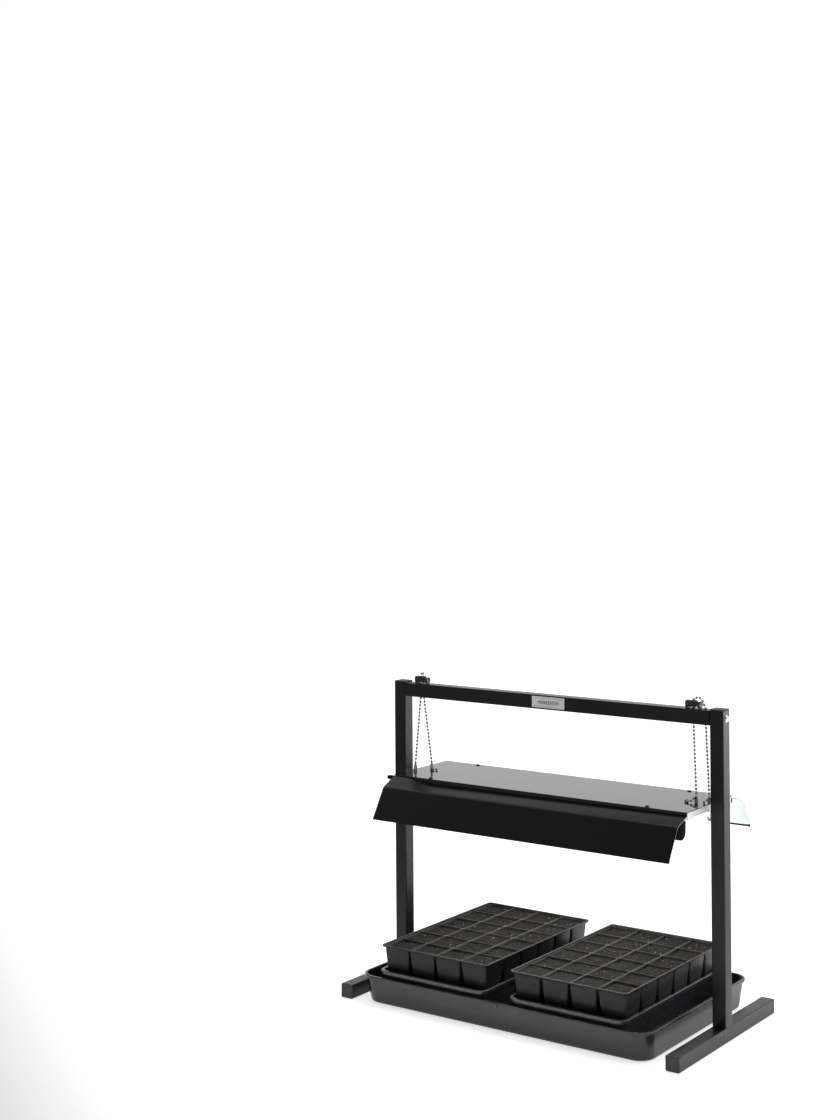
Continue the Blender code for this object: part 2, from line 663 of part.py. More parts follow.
# ---- trays --------------------------------------------------------------------------------
def open_tray(rim, base, corner, floor, height, lip, wall, roll):
    """A moulded tray: round corners, tapered walls and a rolled rim. Origin under its middle."""
    rim_x, rim_y = rim[0] / 2, rim[1] / 2
    base_x, base_y = base[0] / 2, base[1] / 2
    steps = 6

    def ring(half_x, half_y, radius, z):
        return corner_ring(half_x, half_y, radius, z, steps)

    low = height - roll
    rings = [
        ring(base_x - 2 * MM, base_y - 2 * MM, corner, 0),
        ring(base_x, base_y, corner, 2 * MM),
        ring(rim_x - lip, rim_y - lip, corner, low),
        ring(rim_x, rim_y, corner + lip, low),
        ring(rim_x, rim_y, corner + lip, height - 1.6 * MM),
        ring(rim_x - 1.6 * MM, rim_y - 1.6 * MM, corner + lip - 1.6 * MM, height),
        ring(rim_x - lip + 1 * MM, rim_y - lip + 1 * MM, corner, height),
        ring(rim_x - lip - wall, rim_y - lip - wall, corner - wall, low),
        ring(base_x - wall, base_y - wall, corner - wall, floor + 2 * MM),
        ring(base_x - wall - 2 * MM, base_y - wall - 2 * MM, corner - wall - 1 * MM, floor),
    ]
    return stack_rings(rings)


def pegged_slab(size, counts, pitch, peg_top, peg_base, depth, thick, recess=None):
    """A slab that stands on a grid of tapered pegs or cells, as one moulding. Origin under its
    middle, at the pegs' feet. A recess sinks the middle of the top face."""
    bm = bmesh.new()
    lines = []
    for axis in (0, 1):
        cuts = [-size[axis] / 2]
        for i in range(counts[axis]):
            middle = (i - (counts[axis] - 1) / 2) * pitch[axis]
            cuts += [middle - peg_top[axis] / 2, middle + peg_top[axis] / 2]
        lines.append([*cuts, size[axis] / 2])
    under = [[bm.verts.new((x, y, depth)) for y in lines[1]] for x in lines[0]]
    for i in range(len(lines[0]) - 1):
        for j in range(len(lines[1]) - 1):
            ring = [under[i][j], under[i + 1][j], under[i + 1][j + 1], under[i][j + 1]]
            if i % 2 and j % 2:
                add_peg(bm, ring, peg_top, peg_base, depth)
            else:
                bm.faces.new(ring)
    add_top(bm, under, size, depth + thick, recess)
    return bm


def add_peg(bm, ring, peg_top, peg_base, depth):
    centre = sum((v.co for v in ring), Vector()) / 4
    low = []
    for vert in ring:
        reach = vert.co - centre
        low.append(bm.verts.new((
            centre.x + reach.x * peg_base[0] / peg_top[0],
            centre.y + reach.y * peg_base[1] / peg_top[1],
            centre.z - depth,
        )))
    for i in range(4):
        j = (i + 1) % 4
        bm.faces.new((ring[i], ring[j], low[j], low[i]))
    bm.faces.new(low)


def add_top(bm, under, size, top, recess):
    """The slab's sides and top face over the grid of points on its underside."""
    border = [under[i][0] for i in range(len(under))]
    border += [under[-1][j] for j in range(1, len(under[0]))]
    border += [under[i][-1] for i in range(len(under) - 2, -1, -1)]
    border += [under[0][j] for j in range(len(under[0]) - 2, 0, -1)]
    high = [bm.verts.new((v.co.x, v.co.y, top)) for v in border]
    count = len(border)
    for i in range(count):
        j = (i + 1) % count
        bm.faces.new((border[i], border[j], high[j], high[i]))
    if recess is None:
        bm.faces.new(high)
        return
    edge, sink = recess
    shrink = ((size[0] / 2 - edge) / (size[0] / 2), (size[1] / 2 - edge) / (size[1] / 2))
    inner = [bm.verts.new((v.co.x * shrink[0], v.co.y * shrink[1], top)) for v in high]
    floor = [bm.verts.new((v.co.x, v.co.y, top - sink)) for v in inner]
    for outer_ring, inner_ring in ((high, inner), (inner, floor)):
        for i in range(count):
            j = (i + 1) % count
            bm.faces.new((outer_ring[i], outer_ring[j], inner_ring[j], inner_ring[i]))
    bm.faces.new(floor)


def make_drip_tray(body):
    tray = open_tray(TRAY_RIM, TRAY_BASE, 26 * MM, TRAY_FLOOR, TRAY_HEIGHT, 7 * MM, 2 * MM, 6 * MM)
    place("drip_tray", tray, "tray_plastic", body, (*TRAY_CENTRE, 0))


def make_reservoir(side, x, body):
    height = RESERVOIR_TOP - RESERVOIR_UNDER
    tray = open_tray(RESERVOIR_RIM, RESERVOIR_BASE, 14 * MM, RESERVOIR_FLOOR - RESERVOIR_UNDER,
                     height, 5 * MM, 1.5 * MM, 5.5 * MM)
    place(f"reservoir_{side}", tray, "tray_plastic", body, (x, RESERVOIR_Y, RESERVOIR_UNDER))


def make_platform(side, x, body):
    """The peg stand in the reservoir, and the wick mat over it with its tail in the water."""
    size, thick = (192 * MM, 318 * MM), 2 * MM
    under = RESERVOIR_FLOOR + GAP
    stand = pegged_slab(size, (2, 4), (96 * MM, 84 * MM), (16 * MM, 16 * MM), (9 * MM, 9 * MM),
                        PLATFORM_TOP - thick - under, thick)
    place(f"peg_platform_{side}", stand, "tray_plastic", body, (x, INSERT_Y, under))
    front, back = -size[1] / 2, size[1] / 2 + 1 * MM
    tail = 8 * MM - (PLATFORM_TOP + GAP)
    outline = [(front, 0), (back, 0), (back, tail), (back + 2 * MM, tail), (back + 2 * MM, 2 * MM),
               (front, 2 * MM)]
    place(f"capillary_mat_{side}", swept_outline(outline, 186 * MM), "mat_felt", body,
          (x, INSERT_Y, PLATFORM_TOP + GAP))


def make_insert(side, x, body):
    """The planting insert: a rimmed slab over 24 tapered cells, filled with potting mix."""
    thick = 6 * MM
    insert = pegged_slab(INSERT_RIM, CELLS, CELL_PITCH, CELL_TOP, CELL_BASE,
                         INSERT_TOP - thick - INSERT_UNDER, thick, recess=(4 * MM, 3 * MM))
    place(f"cell_insert_{side}", insert, "tray_plastic", body, (x, INSERT_Y, INSERT_UNDER))


# ---- assembly -----------------------------------------------------------------------------
def main():
    clear_scene()
    stand = empty("stand", (0, 0, 0))
    make_stand(stand)
    for side, x in (("left", LOCK_LEFT_X), ("right", LOCK_RIGHT_X)):
        make_lock(side, x, stand, empty(f"button_{side}", (x, 0, LOCK_MID), stand))
    make_chains(stand)

    light = empty("light", (LIGHT_X, LIGHT_Y, LIGHT_TOP), stand)
    make_light(light)
    for end, way in ENDS:
        axis = Vector(light_spot(0, way * LAMP_Y, LAMP_Z)) - world_of(light)
        make_lamp(end, way, empty(f"lamp_{end}_axis", axis, light))

    tray = empty("drip_tray_body", (*TRAY_CENTRE, 0), stand)
    make_drip_tray(tray)
    for (side, _), x in zip(SIDES, RESERVOIR_X):
        spot = Vector((x, RESERVOIR_Y, RESERVOIR_UNDER)) - world_of(tray)
        reservoir = empty(f"reservoir_{side}_body", spot, tray)
        make_reservoir(side, x, reservoir)
        platform = empty(f"platform_{side}_body", (0, 0, 0), reservoir)
        make_platform(side, x, platform)
        make_insert(side, x, empty(f"insert_{side}_body", (0, 0, 0), platform))


main()
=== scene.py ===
"""Looks for the grow-light stand: camera, studio, materials, and the pieces drawn finer than the CAD.

The pieces are drawn in millimetres in the frame's axes, and to_mesh turns them into metres.
"""
import math
import random

import bmesh
import bpy
from mathutils import Matrix, Vector, noise


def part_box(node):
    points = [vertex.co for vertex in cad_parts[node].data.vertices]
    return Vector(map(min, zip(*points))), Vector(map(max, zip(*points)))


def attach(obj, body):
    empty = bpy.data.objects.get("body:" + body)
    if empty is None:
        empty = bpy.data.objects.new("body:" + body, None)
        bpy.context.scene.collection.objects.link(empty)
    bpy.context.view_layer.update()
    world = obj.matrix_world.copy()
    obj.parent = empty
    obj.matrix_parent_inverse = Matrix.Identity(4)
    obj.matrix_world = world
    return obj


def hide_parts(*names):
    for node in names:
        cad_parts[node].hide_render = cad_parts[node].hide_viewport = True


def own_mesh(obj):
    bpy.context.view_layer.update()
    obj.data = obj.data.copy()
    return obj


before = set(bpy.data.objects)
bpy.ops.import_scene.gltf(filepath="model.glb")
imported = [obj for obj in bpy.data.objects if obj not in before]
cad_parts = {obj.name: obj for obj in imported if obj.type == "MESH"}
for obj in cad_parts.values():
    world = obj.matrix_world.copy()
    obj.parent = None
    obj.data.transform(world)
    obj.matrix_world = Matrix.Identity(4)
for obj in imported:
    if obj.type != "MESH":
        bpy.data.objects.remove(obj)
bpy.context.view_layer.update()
MM = 0.001
SIDES = (("left", -1), ("right", 1))
ENDS = (("front", -1), ("back", 1))

SKY_FRONT, SKY_BACK = 0.10, 0.62  # light from overhead, towards the front and the back
HORIZON_FRONT, HORIZON_BACK = 0.72, 1.04
BAND_TOP = (0.28, 0.46)  # sine of the elevation where the white band fades into the sky
TOWARDS_BACK = (-0.30, 0.95, 0.0)
FLOOR_GLOW = 0.62
FLOOR_FADE = (-1.5, -0.75)  # where the floor turns from grey to white
SUN_POWER, SUN_WIDTH, SUN_TILT = 1.3, 80, (-16, 14)
LAMP_GLOW = 22.0
SHARP = 34  # degrees between faces at which an edge is shaded sharp


# ---- camera and studio --------------------------------------------------------------------
def link(name, data):
    obj = bpy.data.objects.new(name, data)
    bpy.context.collection.objects.link(obj)
    return obj


def make_camera():
    data = bpy.data.cameras.new("camera")
    cam = link("camera", data)
    right = Vector((0.81156625, 0.58422347, -0.00657023))
    down = Vector((-0.01364905, 0.00771569, -0.99987708))
    ahead = Vector((-0.58410096, 0.81155616, 0.01423588))
    turn = Matrix((right, -down, -ahead)).transposed()
    cam.matrix_world = Matrix.Translation((1.6546, -2.7011, 1.0109)) @ turn.to_4x4()
    data.lens = 56.07
    data.sensor_width = 36
    data.shift_y = -0.125
    data.clip_end = 60
    data.dof.use_dof = False
    bpy.context.scene.camera = cam


def make_box_light(name, place, aim, size, power):
    data = bpy.data.lights.new(name, "AREA")
    data.shape = "RECTANGLE"
    data.size, data.size_y = size
    data.energy = power
    lamp = link(name, data)
    lamp.location = place
    lamp.rotation_euler = (Vector(aim) - Vector(place)).to_track_quat("-Z", "Y").to_euler()
    lamp.visible_camera = False


def make_sun():
    sun = bpy.data.lights.new("sun", "SUN")
    sun.energy = SUN_POWER
    sun.angle = math.radians(SUN_WIDTH)
    link("sun", sun).rotation_euler = (math.radians(SUN_TILT[0]), math.radians(SUN_TILT[1]), 0)


def make_world():
    """White all round at eye level; dark overhead towards the front, bright towards the back."""
    world = bpy.data.worlds.new("studio")
    bpy.context.scene.world = world
    world.use_nodes = True
    net = Net(world.node_tree)
    net.tree.nodes.clear()
    sky = net.node("ShaderNodeTexCoord").outputs["Generated"]
    rise = net.node("ShaderNodeSeparateXYZ", Vector=sky).outputs["Z"]
    back = net.node("ShaderNodeVectorMath", operation="DOT_PRODUCT", **{"0": sky, "1": TOWARDS_BACK})
    high = net.map_range(back.outputs["Value"], -0.45, 0.45, SKY_FRONT, SKY_BACK)
    low = net.map_range(back.outputs["Value"], -0.2, 0.3, HORIZON_FRONT, HORIZON_BACK)
    share = net.map_range(rise, *BAND_TOP, 0.0, 1.0)
    shade = net.node("ShaderNodeBackground", Color=net.mix(share, low, high))
    out = net.node("ShaderNodeOutputWorld")
    net.tree.links.new(shade.outputs[0], out.inputs["Surface"])


def make_floor():
    mesh = bpy.data.meshes.new("floor")
    bm = bmesh.new()
    bmesh.ops.create_grid(bm, x_segments=4, y_segments=4, size=30)
    bm.to_mesh(mesh)
    bm.free()
    floor = link("floor", mesh)
    floor.location.z = -0.0004
    floor.data.materials.append(floor_material())


def make_studio():
    bpy.context.scene.view_settings.view_transform = "Standard"
    make_world()
    make_floor()
    make_sun()
    make_box_light("back_right_box", (1.9, 2.3, 0.55), (0.1, 0, 0.25), (1.6, 1.1), 15)


# ---- materials ----------------------------------------------------------------------------
class Net:
    """Small helper that adds nodes and links them by socket name."""

    def __init__(self, tree):
        self.tree = tree

    def node(self, kind, operation=None, **inputs):
        made = self.tree.nodes.new(kind)
        if operation:
            made.operation = operation
        for key, value in inputs.items():
            socket = made.inputs[int(key)] if key.isdigit() else made.inputs[key.replace("_", " ")]
            self.put(socket, value)
        return made

    def put(self, socket, value):
        if isinstance(value, bpy.types.NodeSocket):
            self.tree.links.new(value, socket)
        else:
            socket.default_value = value

    def math(self, operation, a, b=0.5):
        return self.node("ShaderNodeMath", operation=operation, **{"0": a, "1": b}).outputs[0]

    def map_range(self, value, low, high, to_low, to_high):
        made = self.node("ShaderNodeMapRange", Value=value)
        for key, number in (("From Min", low), ("From Max", high), ("To Min", to_low), ("To Max", to_high)):
            made.inputs[key].default_value = number
        return made.outputs["Result"]

    def mix(self, factor, a, b):
        made = self.tree.nodes.new("ShaderNodeMix")
        made.data_type = "RGBA"
        sockets = {s.identifier: s for s in made.inputs}
        for key, value in (("Factor_Float", factor), ("A_Color", a), ("B_Color", b)):
            if isinstance(value, tuple) and len(value) == 3:
                value = (*value, 1)
            self.put(sockets[key], value)
        return next(s for s in made.outputs if s.identifier == "Result_Color")

    def noise(self, scale, detail=3.0, rough=0.5, stretch=(1, 1, 1), shift=(0, 0, 0)):
        place = self.node("ShaderNodeTexCoord").outputs["Object"]
        moved = self.node("ShaderNodeMapping", Vector=place)
        moved.inputs["Scale"].default_value = stretch
        moved.inputs["Location"].default_value = shift
        made = self.node("ShaderNodeTexNoise", Vector=moved.outputs[0])
        for key, number in (("Scale", scale), ("Detail", detail), ("Roughness", rough)):
            made.inputs[key].default_value = number
        return made.outputs["Fac"]

    def bump(self, height, strength, distance, normal=None):
        made = self.node("ShaderNodeBump", Height=height)
        made.inputs["Strength"].default_value = strength
        made.inputs["Distance"].default_value = distance
        if normal is not None:
            self.tree.links.new(normal, made.inputs["Normal"])
        return made.outputs["Normal"]


MATS = {}


def material(name):
    """A new material in MATS, with its node helper and its shader node."""
    mat = bpy.data.materials.new(name)
    mat.use_nodes = True
    MATS[name] = mat
    return Net(mat.node_tree), mat.node_tree.nodes["Principled BSDF"]


def floor_material():
    """Matt white that glows a little, and falls off to grey well in front of the stand."""
    net, shader = material("studio_floor")
    place = net.node("ShaderNodeSeparateXYZ", Vector=net.node("ShaderNodeTexCoord").outputs["Object"])
    ahead = net.math("ADD", net.math("MULTIPLY", place.outputs["X"], 0.62), place.outputs["Y"])
    near = net.map_range(ahead, *FLOOR_FADE, 0.0, 1.0)
    net.put(shader.inputs["Base Color"], net.mix(near, (0.42, 0.42, 0.425), (0.82, 0.82, 0.825)))
    shader.inputs["Roughness"].default_value = 0.9
    shader.inputs["Specular IOR Level"].default_value = 0.0
    shader.inputs["Emission Color"].default_value = (1, 1, 1, 1)
    net.put(shader.inputs["Emission Strength"], net.math("MULTIPLY", near, FLOOR_GLOW))
    return MATS["studio_floor"]


def surface(name, base, second, rough, grain, metallic=0.0, blotch=9.0, specular=0.5, stretch=(1, 1, 1),
            ripple=None, dust=0.0):
    """A procedural surface: two near tones in soft blotches, roughness that varies with them, a fine
    grain as bump (scale, strength, depth), and optional ripple (a slow wave) and dust."""
    net, shader = material(name)
    share = net.map_range(net.noise(blotch, 4, 0.6), 0.32, 0.68, 0.0, 1.0)
    colour = net.mix(share, base, second)
    fine = net.noise(grain[0], 3, 0.6, stretch)
    speck = net.map_range(fine, 0.3, 0.7, 0.0, 1.0)
    colour = net.mix(net.math("MULTIPLY", speck, 0.35), colour, second)
    if dust:
        lint = net.map_range(net.noise(420, 6, 0.75), 0.66, 0.74, 0.0, dust)
        colour = net.mix(lint, colour, (0.30, 0.30, 0.29))
    net.put(shader.inputs["Base Color"], colour)
    spread = net.math("ADD", net.math("MULTIPLY", share, 0.55), net.math("MULTIPLY", speck, 0.45))
    net.put(shader.inputs["Roughness"], net.map_range(spread, 0.0, 1.0, *rough))
    shader.inputs["Metallic"].default_value = metallic
    shader.inputs["Specular IOR Level"].default_value = specular
    normal = net.bump(fine, *grain[1:])
    if ripple:
        normal = net.bump(net.noise(ripple[0], 2, 0.4), *ripple[1:], normal)
    net.put(shader.inputs["Normal"], normal)


def make_paints():
    surface("frame_paint", (0.0042, 0.0042, 0.0046), (0.0070, 0.0070, 0.0076), (0.24, 0.36),
            (850, 0.10, 0.0004), specular=0.26, blotch=14, ripple=(60, 0.02, 0.002))
    surface("cover_gloss", (0.006, 0.006, 0.0065), (0.009, 0.009, 0.0095), (0.045, 0.085),
            (500, 0.015, 0.0003), specular=0.58, blotch=12, ripple=(26, 0.012, 0.002), dust=0.04)
    surface("housing_white", (0.80, 0.81, 0.81), (0.88, 0.89, 0.89), (0.30, 0.42),
            (700, 0.08, 0.0004), blotch=10, ripple=(50, 0.02, 0.002))
    surface("wing_paint", (0.0042, 0.0042, 0.0046), (0.0062, 0.0062, 0.0068), (0.20, 0.30),
            (700, 0.05, 0.0004), specular=0.40, blotch=7, ripple=(18, 0.03, 0.004))
    surface("wing_white", (0.70, 0.745, 0.735), (0.76, 0.795, 0.785), (0.26, 0.40),
            (700, 0.06, 0.0004), blotch=8, ripple=(18, 0.03, 0.004))
    surface("ballast_case", (0.72, 0.72, 0.70), (0.82, 0.82, 0.80), (0.35, 0.5),
            (600, 0.1, 0.0004), blotch=24)
    surface("plate_ink", (0.050, 0.054, 0.050), (0.085, 0.090, 0.085), (0.35, 0.5),
            (900, 0.1, 0.0002), blotch=60)


def make_metals():
    surface("bright_steel", (0.74, 0.74, 0.75), (0.60, 0.60, 0.62), (0.12, 0.26),
            (1400, 0.06, 0.0002), metallic=1.0, blotch=90)
    surface("plate_metal", (0.80, 0.80, 0.795), (0.70, 0.70, 0.70), (0.30, 0.46),
            (900, 0.10, 0.0002), metallic=0.15, blotch=30, stretch=(0.04, 1, 1))
    surface("cap_metal", (0.70, 0.70, 0.70), (0.56, 0.56, 0.57), (0.26, 0.42),
            (900, 0.10, 0.0002), metallic=1.0, blotch=30)
    surface("spring_steel", (0.60, 0.60, 0.62), (0.42, 0.42, 0.44), (0.2, 0.35),
            (1800, 0.1, 0.0002), metallic=1.0, blotch=120)
    surface("chain_steel", (0.40, 0.395, 0.39), (0.24, 0.237, 0.234), (0.12, 0.26),
            (900, 0.05, 0.0002), metallic=1.0, blotch=160)
    surface("cut_edge", (0.34, 0.34, 0.34), (0.22, 0.22, 0.23), (0.35, 0.5),
            (1500, 0.2, 0.0003), metallic=0.6, blotch=120)
    surface("screw_black", (0.012, 0.012, 0.013), (0.03, 0.03, 0.032), (0.28, 0.44),
            (1800, 0.15, 0.0003), blotch=160, specular=0.6)


def make_plastics():
    surface("lock_plastic", (0.005, 0.005, 0.0055), (0.011, 0.011, 0.012), (0.26, 0.42),
            (1500, 0.14, 0.0003), blotch=60)
    surface("holder_plastic", (0.0030, 0.0030, 0.0034), (0.0052, 0.0052, 0.0056), (0.50, 0.65),
            (1500, 0.12, 0.0003), blotch=60, specular=0.03)
    surface("tray_plastic", (0.0078, 0.0078, 0.0084), (0.0112, 0.0112, 0.0120), (0.20, 0.27),
            (900, 0.05, 0.0004), blotch=9, ripple=(16, 0.02, 0.004), specular=0.47, dust=0.08)
    surface("reservoir_plastic", (0.0210, 0.0220, 0.0255), (0.0300, 0.0312, 0.0355), (0.20, 0.32),
            (900, 0.05, 0.0004), blotch=12, ripple=(28, 0.05, 0.003), specular=0.75, dust=0.08)
    surface("insert_plastic", (0.0058, 0.0061, 0.0056), (0.0105, 0.0110, 0.0098), (0.30, 0.46),
            (1000, 0.08, 0.0003), blotch=22, ripple=(45, 0.05, 0.002), specular=0.26, dust=0.16)
    # dried mix and a painted greenish sheen (reflected plants) on the faces that look up
    add_dirt_and_top_sheen("insert_plastic")
    surface("black_plastic", (0.0065, 0.0065, 0.007), (0.012, 0.012, 0.0125), (0.40, 0.55),
            (1600, 0.22, 0.0003), specular=0.45, blotch=40)
    add_stipple("black_plastic")


def add_stipple(name):
    """Fine round dots, as on the moulded caps."""
    net = Net(MATS[name].node_tree)
    shader = MATS[name].node_tree.nodes["Principled BSDF"]
    dots = net.node("ShaderNodeTexVoronoi", Vector=net.node("ShaderNodeTexCoord").outputs["Object"])
    dots.inputs["Scale"].default_value = 620
    below = shader.inputs["Normal"].links[0].from_socket
    net.put(shader.inputs["Normal"], net.bump(dots.outputs["Distance"], 0.45, 0.0008, below))


def add_dirt_and_top_sheen(name):
    """Dried potting mix in uneven patches, and a painted greenish sheen that stands in for the plants'
    reflection, on the faces that look up.
    """
    net = Net(MATS[name].node_tree)
    shader = MATS[name].node_tree.nodes["Principled BSDF"]
    clean = shader.inputs["Base Color"].links[0].from_socket
    facing = net.node("ShaderNodeSeparateXYZ", Vector=net.node("ShaderNodeNewGeometry").outputs["Normal"])
    # painted sheen: faces that look up get a lighter greenish tone for the reflected plants, mixed with brown
    # dried potting mix
    dirt_and_sheen_mask = net.map_range(facing.outputs["Z"], 0.45, 0.9, 0.0, 1.0)
    patches = net.map_range(net.noise(60, 5, 0.7), 0.30, 0.62, 0.25, 1.0)
    hue = net.map_range(net.noise(14, 2, 0.5), 0.4, 0.6, 0.0, 1.0)
    dirt_and_sheen_tint = net.mix(hue, (0.034, 0.037, 0.024), (0.040, 0.034, 0.026))
    net.put(shader.inputs["Base Color"], net.mix(net.math("MULTIPLY", dirt_and_sheen_mask, patches), clean, dirt_and_sheen_tint))


def make_felt():
    net, shader = material("mat_felt")
    long_x = net.noise(420, 4, 0.7, (0.25, 1, 1))
    long_y = net.noise(420, 4, 0.7, (1, 0.25, 1), (0.3, 0.1, 0))
    fibre = net.math("MAXIMUM", long_x, long_y)
    tone = net.map_range(fibre, 0.42, 0.72, 0.0, 1.0)
    colour = net.mix(tone, (0.20, 0.20, 0.195), (0.42, 0.42, 0.41))
    fleck = net.map_range(net.noise(900, 2, 0.5), 0.62, 0.68, 0.0, 0.7)
    net.put(shader.inputs["Base Color"], net.mix(fleck, colour, (0.10, 0.14, 0.22)))
    net.put(shader.inputs["Roughness"], net.map_range(tone, 0, 1, 0.88, 0.98))
    shader.inputs["Sheen Weight"].default_value = 0.35
    net.put(shader.inputs["Normal"], net.bump(fibre, 0.7, 0.001))


def make_lamp_glass():
    """Frosted tube: phosphor white that dims a little towards its ends."""
    net, shader = material("lamp_glass")
    place = net.node("ShaderNodeTexCoord").outputs["Object"]
    along = net.node("ShaderNodeSeparateXYZ", Vector=place).outputs["X"]
    from_middle = net.math("ABSOLUTE", net.math("SUBTRACT", along, LIGHT.x * MM))
    glow = net.map_range(from_middle, 0.225, 0.266, 1.0, 0.25)
    grain = net.noise(300, 3, 0.6)
    share = net.map_range(grain, 0.3, 0.7, 0, 1)
    net.put(shader.inputs["Base Color"], net.mix(share, (0.88, 0.89, 0.87), (0.93, 0.94, 0.93)))
    net.put(shader.inputs["Roughness"], net.map_range(grain, 0.3, 0.7, 0.12, 0.22))
    shader.inputs["Emission Color"].default_value = (0.93, 1.0, 0.98, 1)
    net.put(shader.inputs["Emission Strength"], net.math("MULTIPLY", glow, LAMP_GLOW))


def make_potting_mix():
    net, shader = material("potting_mix")
    coarse = net.noise(230, 6, 0.72)
    fine = net.noise(900, 5, 0.7)
    share = net.map_range(coarse, 0.36, 0.64, 0, 1)
    dark = net.mix(share, (0.0016, 0.0012, 0.0009), (0.0135, 0.0082, 0.0052))
    bark = net.mix(net.map_range(fine, 0.58, 0.68, 0, 0.75), dark, (0.060, 0.034, 0.019))
    threads = net.map_range(net.noise(700, 3, 0.6, (0.2, 1, 1)), 0.66, 0.72, 0, 0.8)
    net.put(shader.inputs["Base Color"], net.mix(threads, bark, (0.090, 0.058, 0.034)))
    net.put(shader.inputs["Roughness"], net.map_range(coarse, 0.3, 0.7, 0.75, 0.97))
    shader.inputs["Specular IOR Level"].default_value = 0.2
    both = net.math("ADD", net.math("MULTIPLY", coarse, 0.6), net.math("MULTIPLY", fine, 0.5))
    net.put(shader.inputs["Normal"], net.bump(both, 0.9, 0.0016))
    surface("perlite", (0.34, 0.30, 0.24), (0.60, 0.56, 0.48), (0.7, 0.9), (900, 0.5, 0.0006), blotch=300)


# ---- mesh helpers -------------------------------------------------------------------------
def box_mm(name):
    """A CAD node's low and high corners, in millimetres."""
    low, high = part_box(name)
    return low / MM, high / MM


def to_mesh(name, bm):
    """The mesh in metres, from one drawn in millimetres."""
    bmesh.ops.scale(bm, vec=(MM, MM, MM), verts=bm.verts)
    mesh = bpy.data.meshes.new(name)
    bm.to_mesh(mesh)
    bm.free()
    return mesh


def shade(mesh, angle):
    mesh.shade_smooth()
    mesh.set_sharp_from_angle(angle=math.radians(angle))


def piece(name, bm, mats, body, replaced=(), angle=32):
    bmesh.ops.remove_doubles(bm, verts=bm.verts, dist=0.001)
    bmesh.ops.recalc_face_normals(bm, faces=bm.faces)
    return finish_piece(name, to_mesh(name, bm), mats, body, replaced, angle)


def finish_piece(name, mesh, mats, body, replaced=(), angle=32):
    for key in mats:
        mesh.materials.append(MATS[key])
    shade(mesh, angle)
    obj = link(name, mesh)
    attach(obj, body)
    if replaced:
        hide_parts(*replaced)
    return obj


def face_weighted(obj):
    """Keeps broad flat faces flat in the shading, beside their small rounded edges."""
    step = obj.modifiers.new("face_normals", "WEIGHTED_NORMAL")
    step.weight = 100
    step.keep_sharp = True
    return obj


def thicken(obj, thickness, inward=True):
    step = obj.modifiers.new("thickness", "SOLIDIFY")
    step.thickness = thickness * MM
    step.offset = -1.0 if inward else 1.0


def corner_ring(centre, half_x, half_y, radius, z, steps):
    """A rectangle with round corners, counter-clockwise."""
    points = []
    radius = max(radius, 0.02)
    for turn, (side_x, side_y) in enumerate(((1, 1), (-1, 1), (-1, -1), (1, -1))):
        for step in range(steps + 1):
            angle = math.pi / 2 * (turn + step / steps)
            points.append(Vector((centre[0] + side_x * (half_x - radius) + radius * math.cos(angle),
                                  centre[1] + side_y * (half_y - radius) + radius * math.sin(angle), z)))
    return points


def skin(bm, rings, caps=True, looped=True, mat=0):
    """Faces between each ring of points and the next, and over the first and the last."""
    layers = [[bm.verts.new(p) for p in ring] for ring in rings]
    count = len(layers[0])
    for low, high in zip(layers, layers[1:]):
        for i in range(count if looped else count - 1):
            j = (i + 1) % count
            bm.faces.new((low[i], low[j], high[j], high[i])).material_index = mat
    if caps:
        bm.faces.new(layers[0][::-1]).material_index = mat
        bm.faces.new(layers[-1]).material_index = mat
    return layers


def lathe(bm, origin, axis, profile, sides=32, mat=0):
    """A profile of (distance along the axis, radius) turned about it."""
    axis = Vector(axis).normalized()
    side = axis.orthogonal().normalized()
    other = axis.cross(side)
    spokes = [side * math.cos(2 * math.pi * i / sides) + other * math.sin(2 * math.pi * i / sides)
              for i in range(sides)]
    skin(bm, [[Vector(origin) + axis * along + spoke * max(radius, 0.001) for spoke in spokes]
              for along, radius in profile], mat=mat)


def ball(bm, centre, radius):
    bmesh.ops.create_uvsphere(bm, u_segments=14, v_segments=8, radius=radius,
                              matrix=Matrix.Translation(centre))


def rod_between(bm, start, end, radius, sides):
    lathe(bm, start, end - start, ((0, radius), ((end - start).length, radius)), sides)


def smooth_group():
    """Nodes that shade a mesh smooth, and leave its sharp edges sharp."""
    group = bpy.data.node_groups.new("smooth_by_angle", "GeometryNodeTree")
    group.interface.new_socket("Geometry", in_out="INPUT", socket_type="NodeSocketGeometry")
    group.interface.new_socket("Geometry", in_out="OUTPUT", socket_type="NodeSocketGeometry")
    start = group.nodes.new("NodeGroupInput")
    end = group.nodes.new("NodeGroupOutput")
    faces = group.nodes.new("GeometryNodeSetShadeSmooth")
    edges = group.nodes.new("GeometryNodeSetShadeSmooth")
    edges.domain = "EDGE"
    angle = group.nodes.new("GeometryNodeInputMeshEdgeAngle")
    small = group.nodes.new("FunctionNodeCompare")
    small.operation = "LESS_THAN"
    small.inputs["B"].default_value = math.radians(SHARP)
    group.links.new(start.outputs[0], faces.inputs["Geometry"])
    group.links.new(faces.outputs[0], edges.inputs["Geometry"])
    group.links.new(angle.outputs["Unsigned Angle"], small.inputs["A"])
    group.links.new(small.outputs[0], edges.inputs["Shade Smooth"])
    group.links.new(edges.outputs[0], end.inputs[0])
    return group


def dress(slot_name, *names, bevel=None):
    """Gives CAD nodes a good material, rounds their edges and shades them smooth."""
    for name in names:
        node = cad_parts[name]
        for spot in node.material_slots:
            spot.material = MATS[slot_name]
        node.modifiers.new("weld", "WELD").merge_threshold = 0.00001
        if bevel:
            step = node.modifiers.new("edges", "BEVEL")
            step.width = bevel * MM
            step.segments = 3
            step.limit_method = "ANGLE"
            step.angle_limit = math.radians(SHARP)
        node.modifiers.new("smooth", "NODES").node_group = SMOOTH
        face_weighted(node)


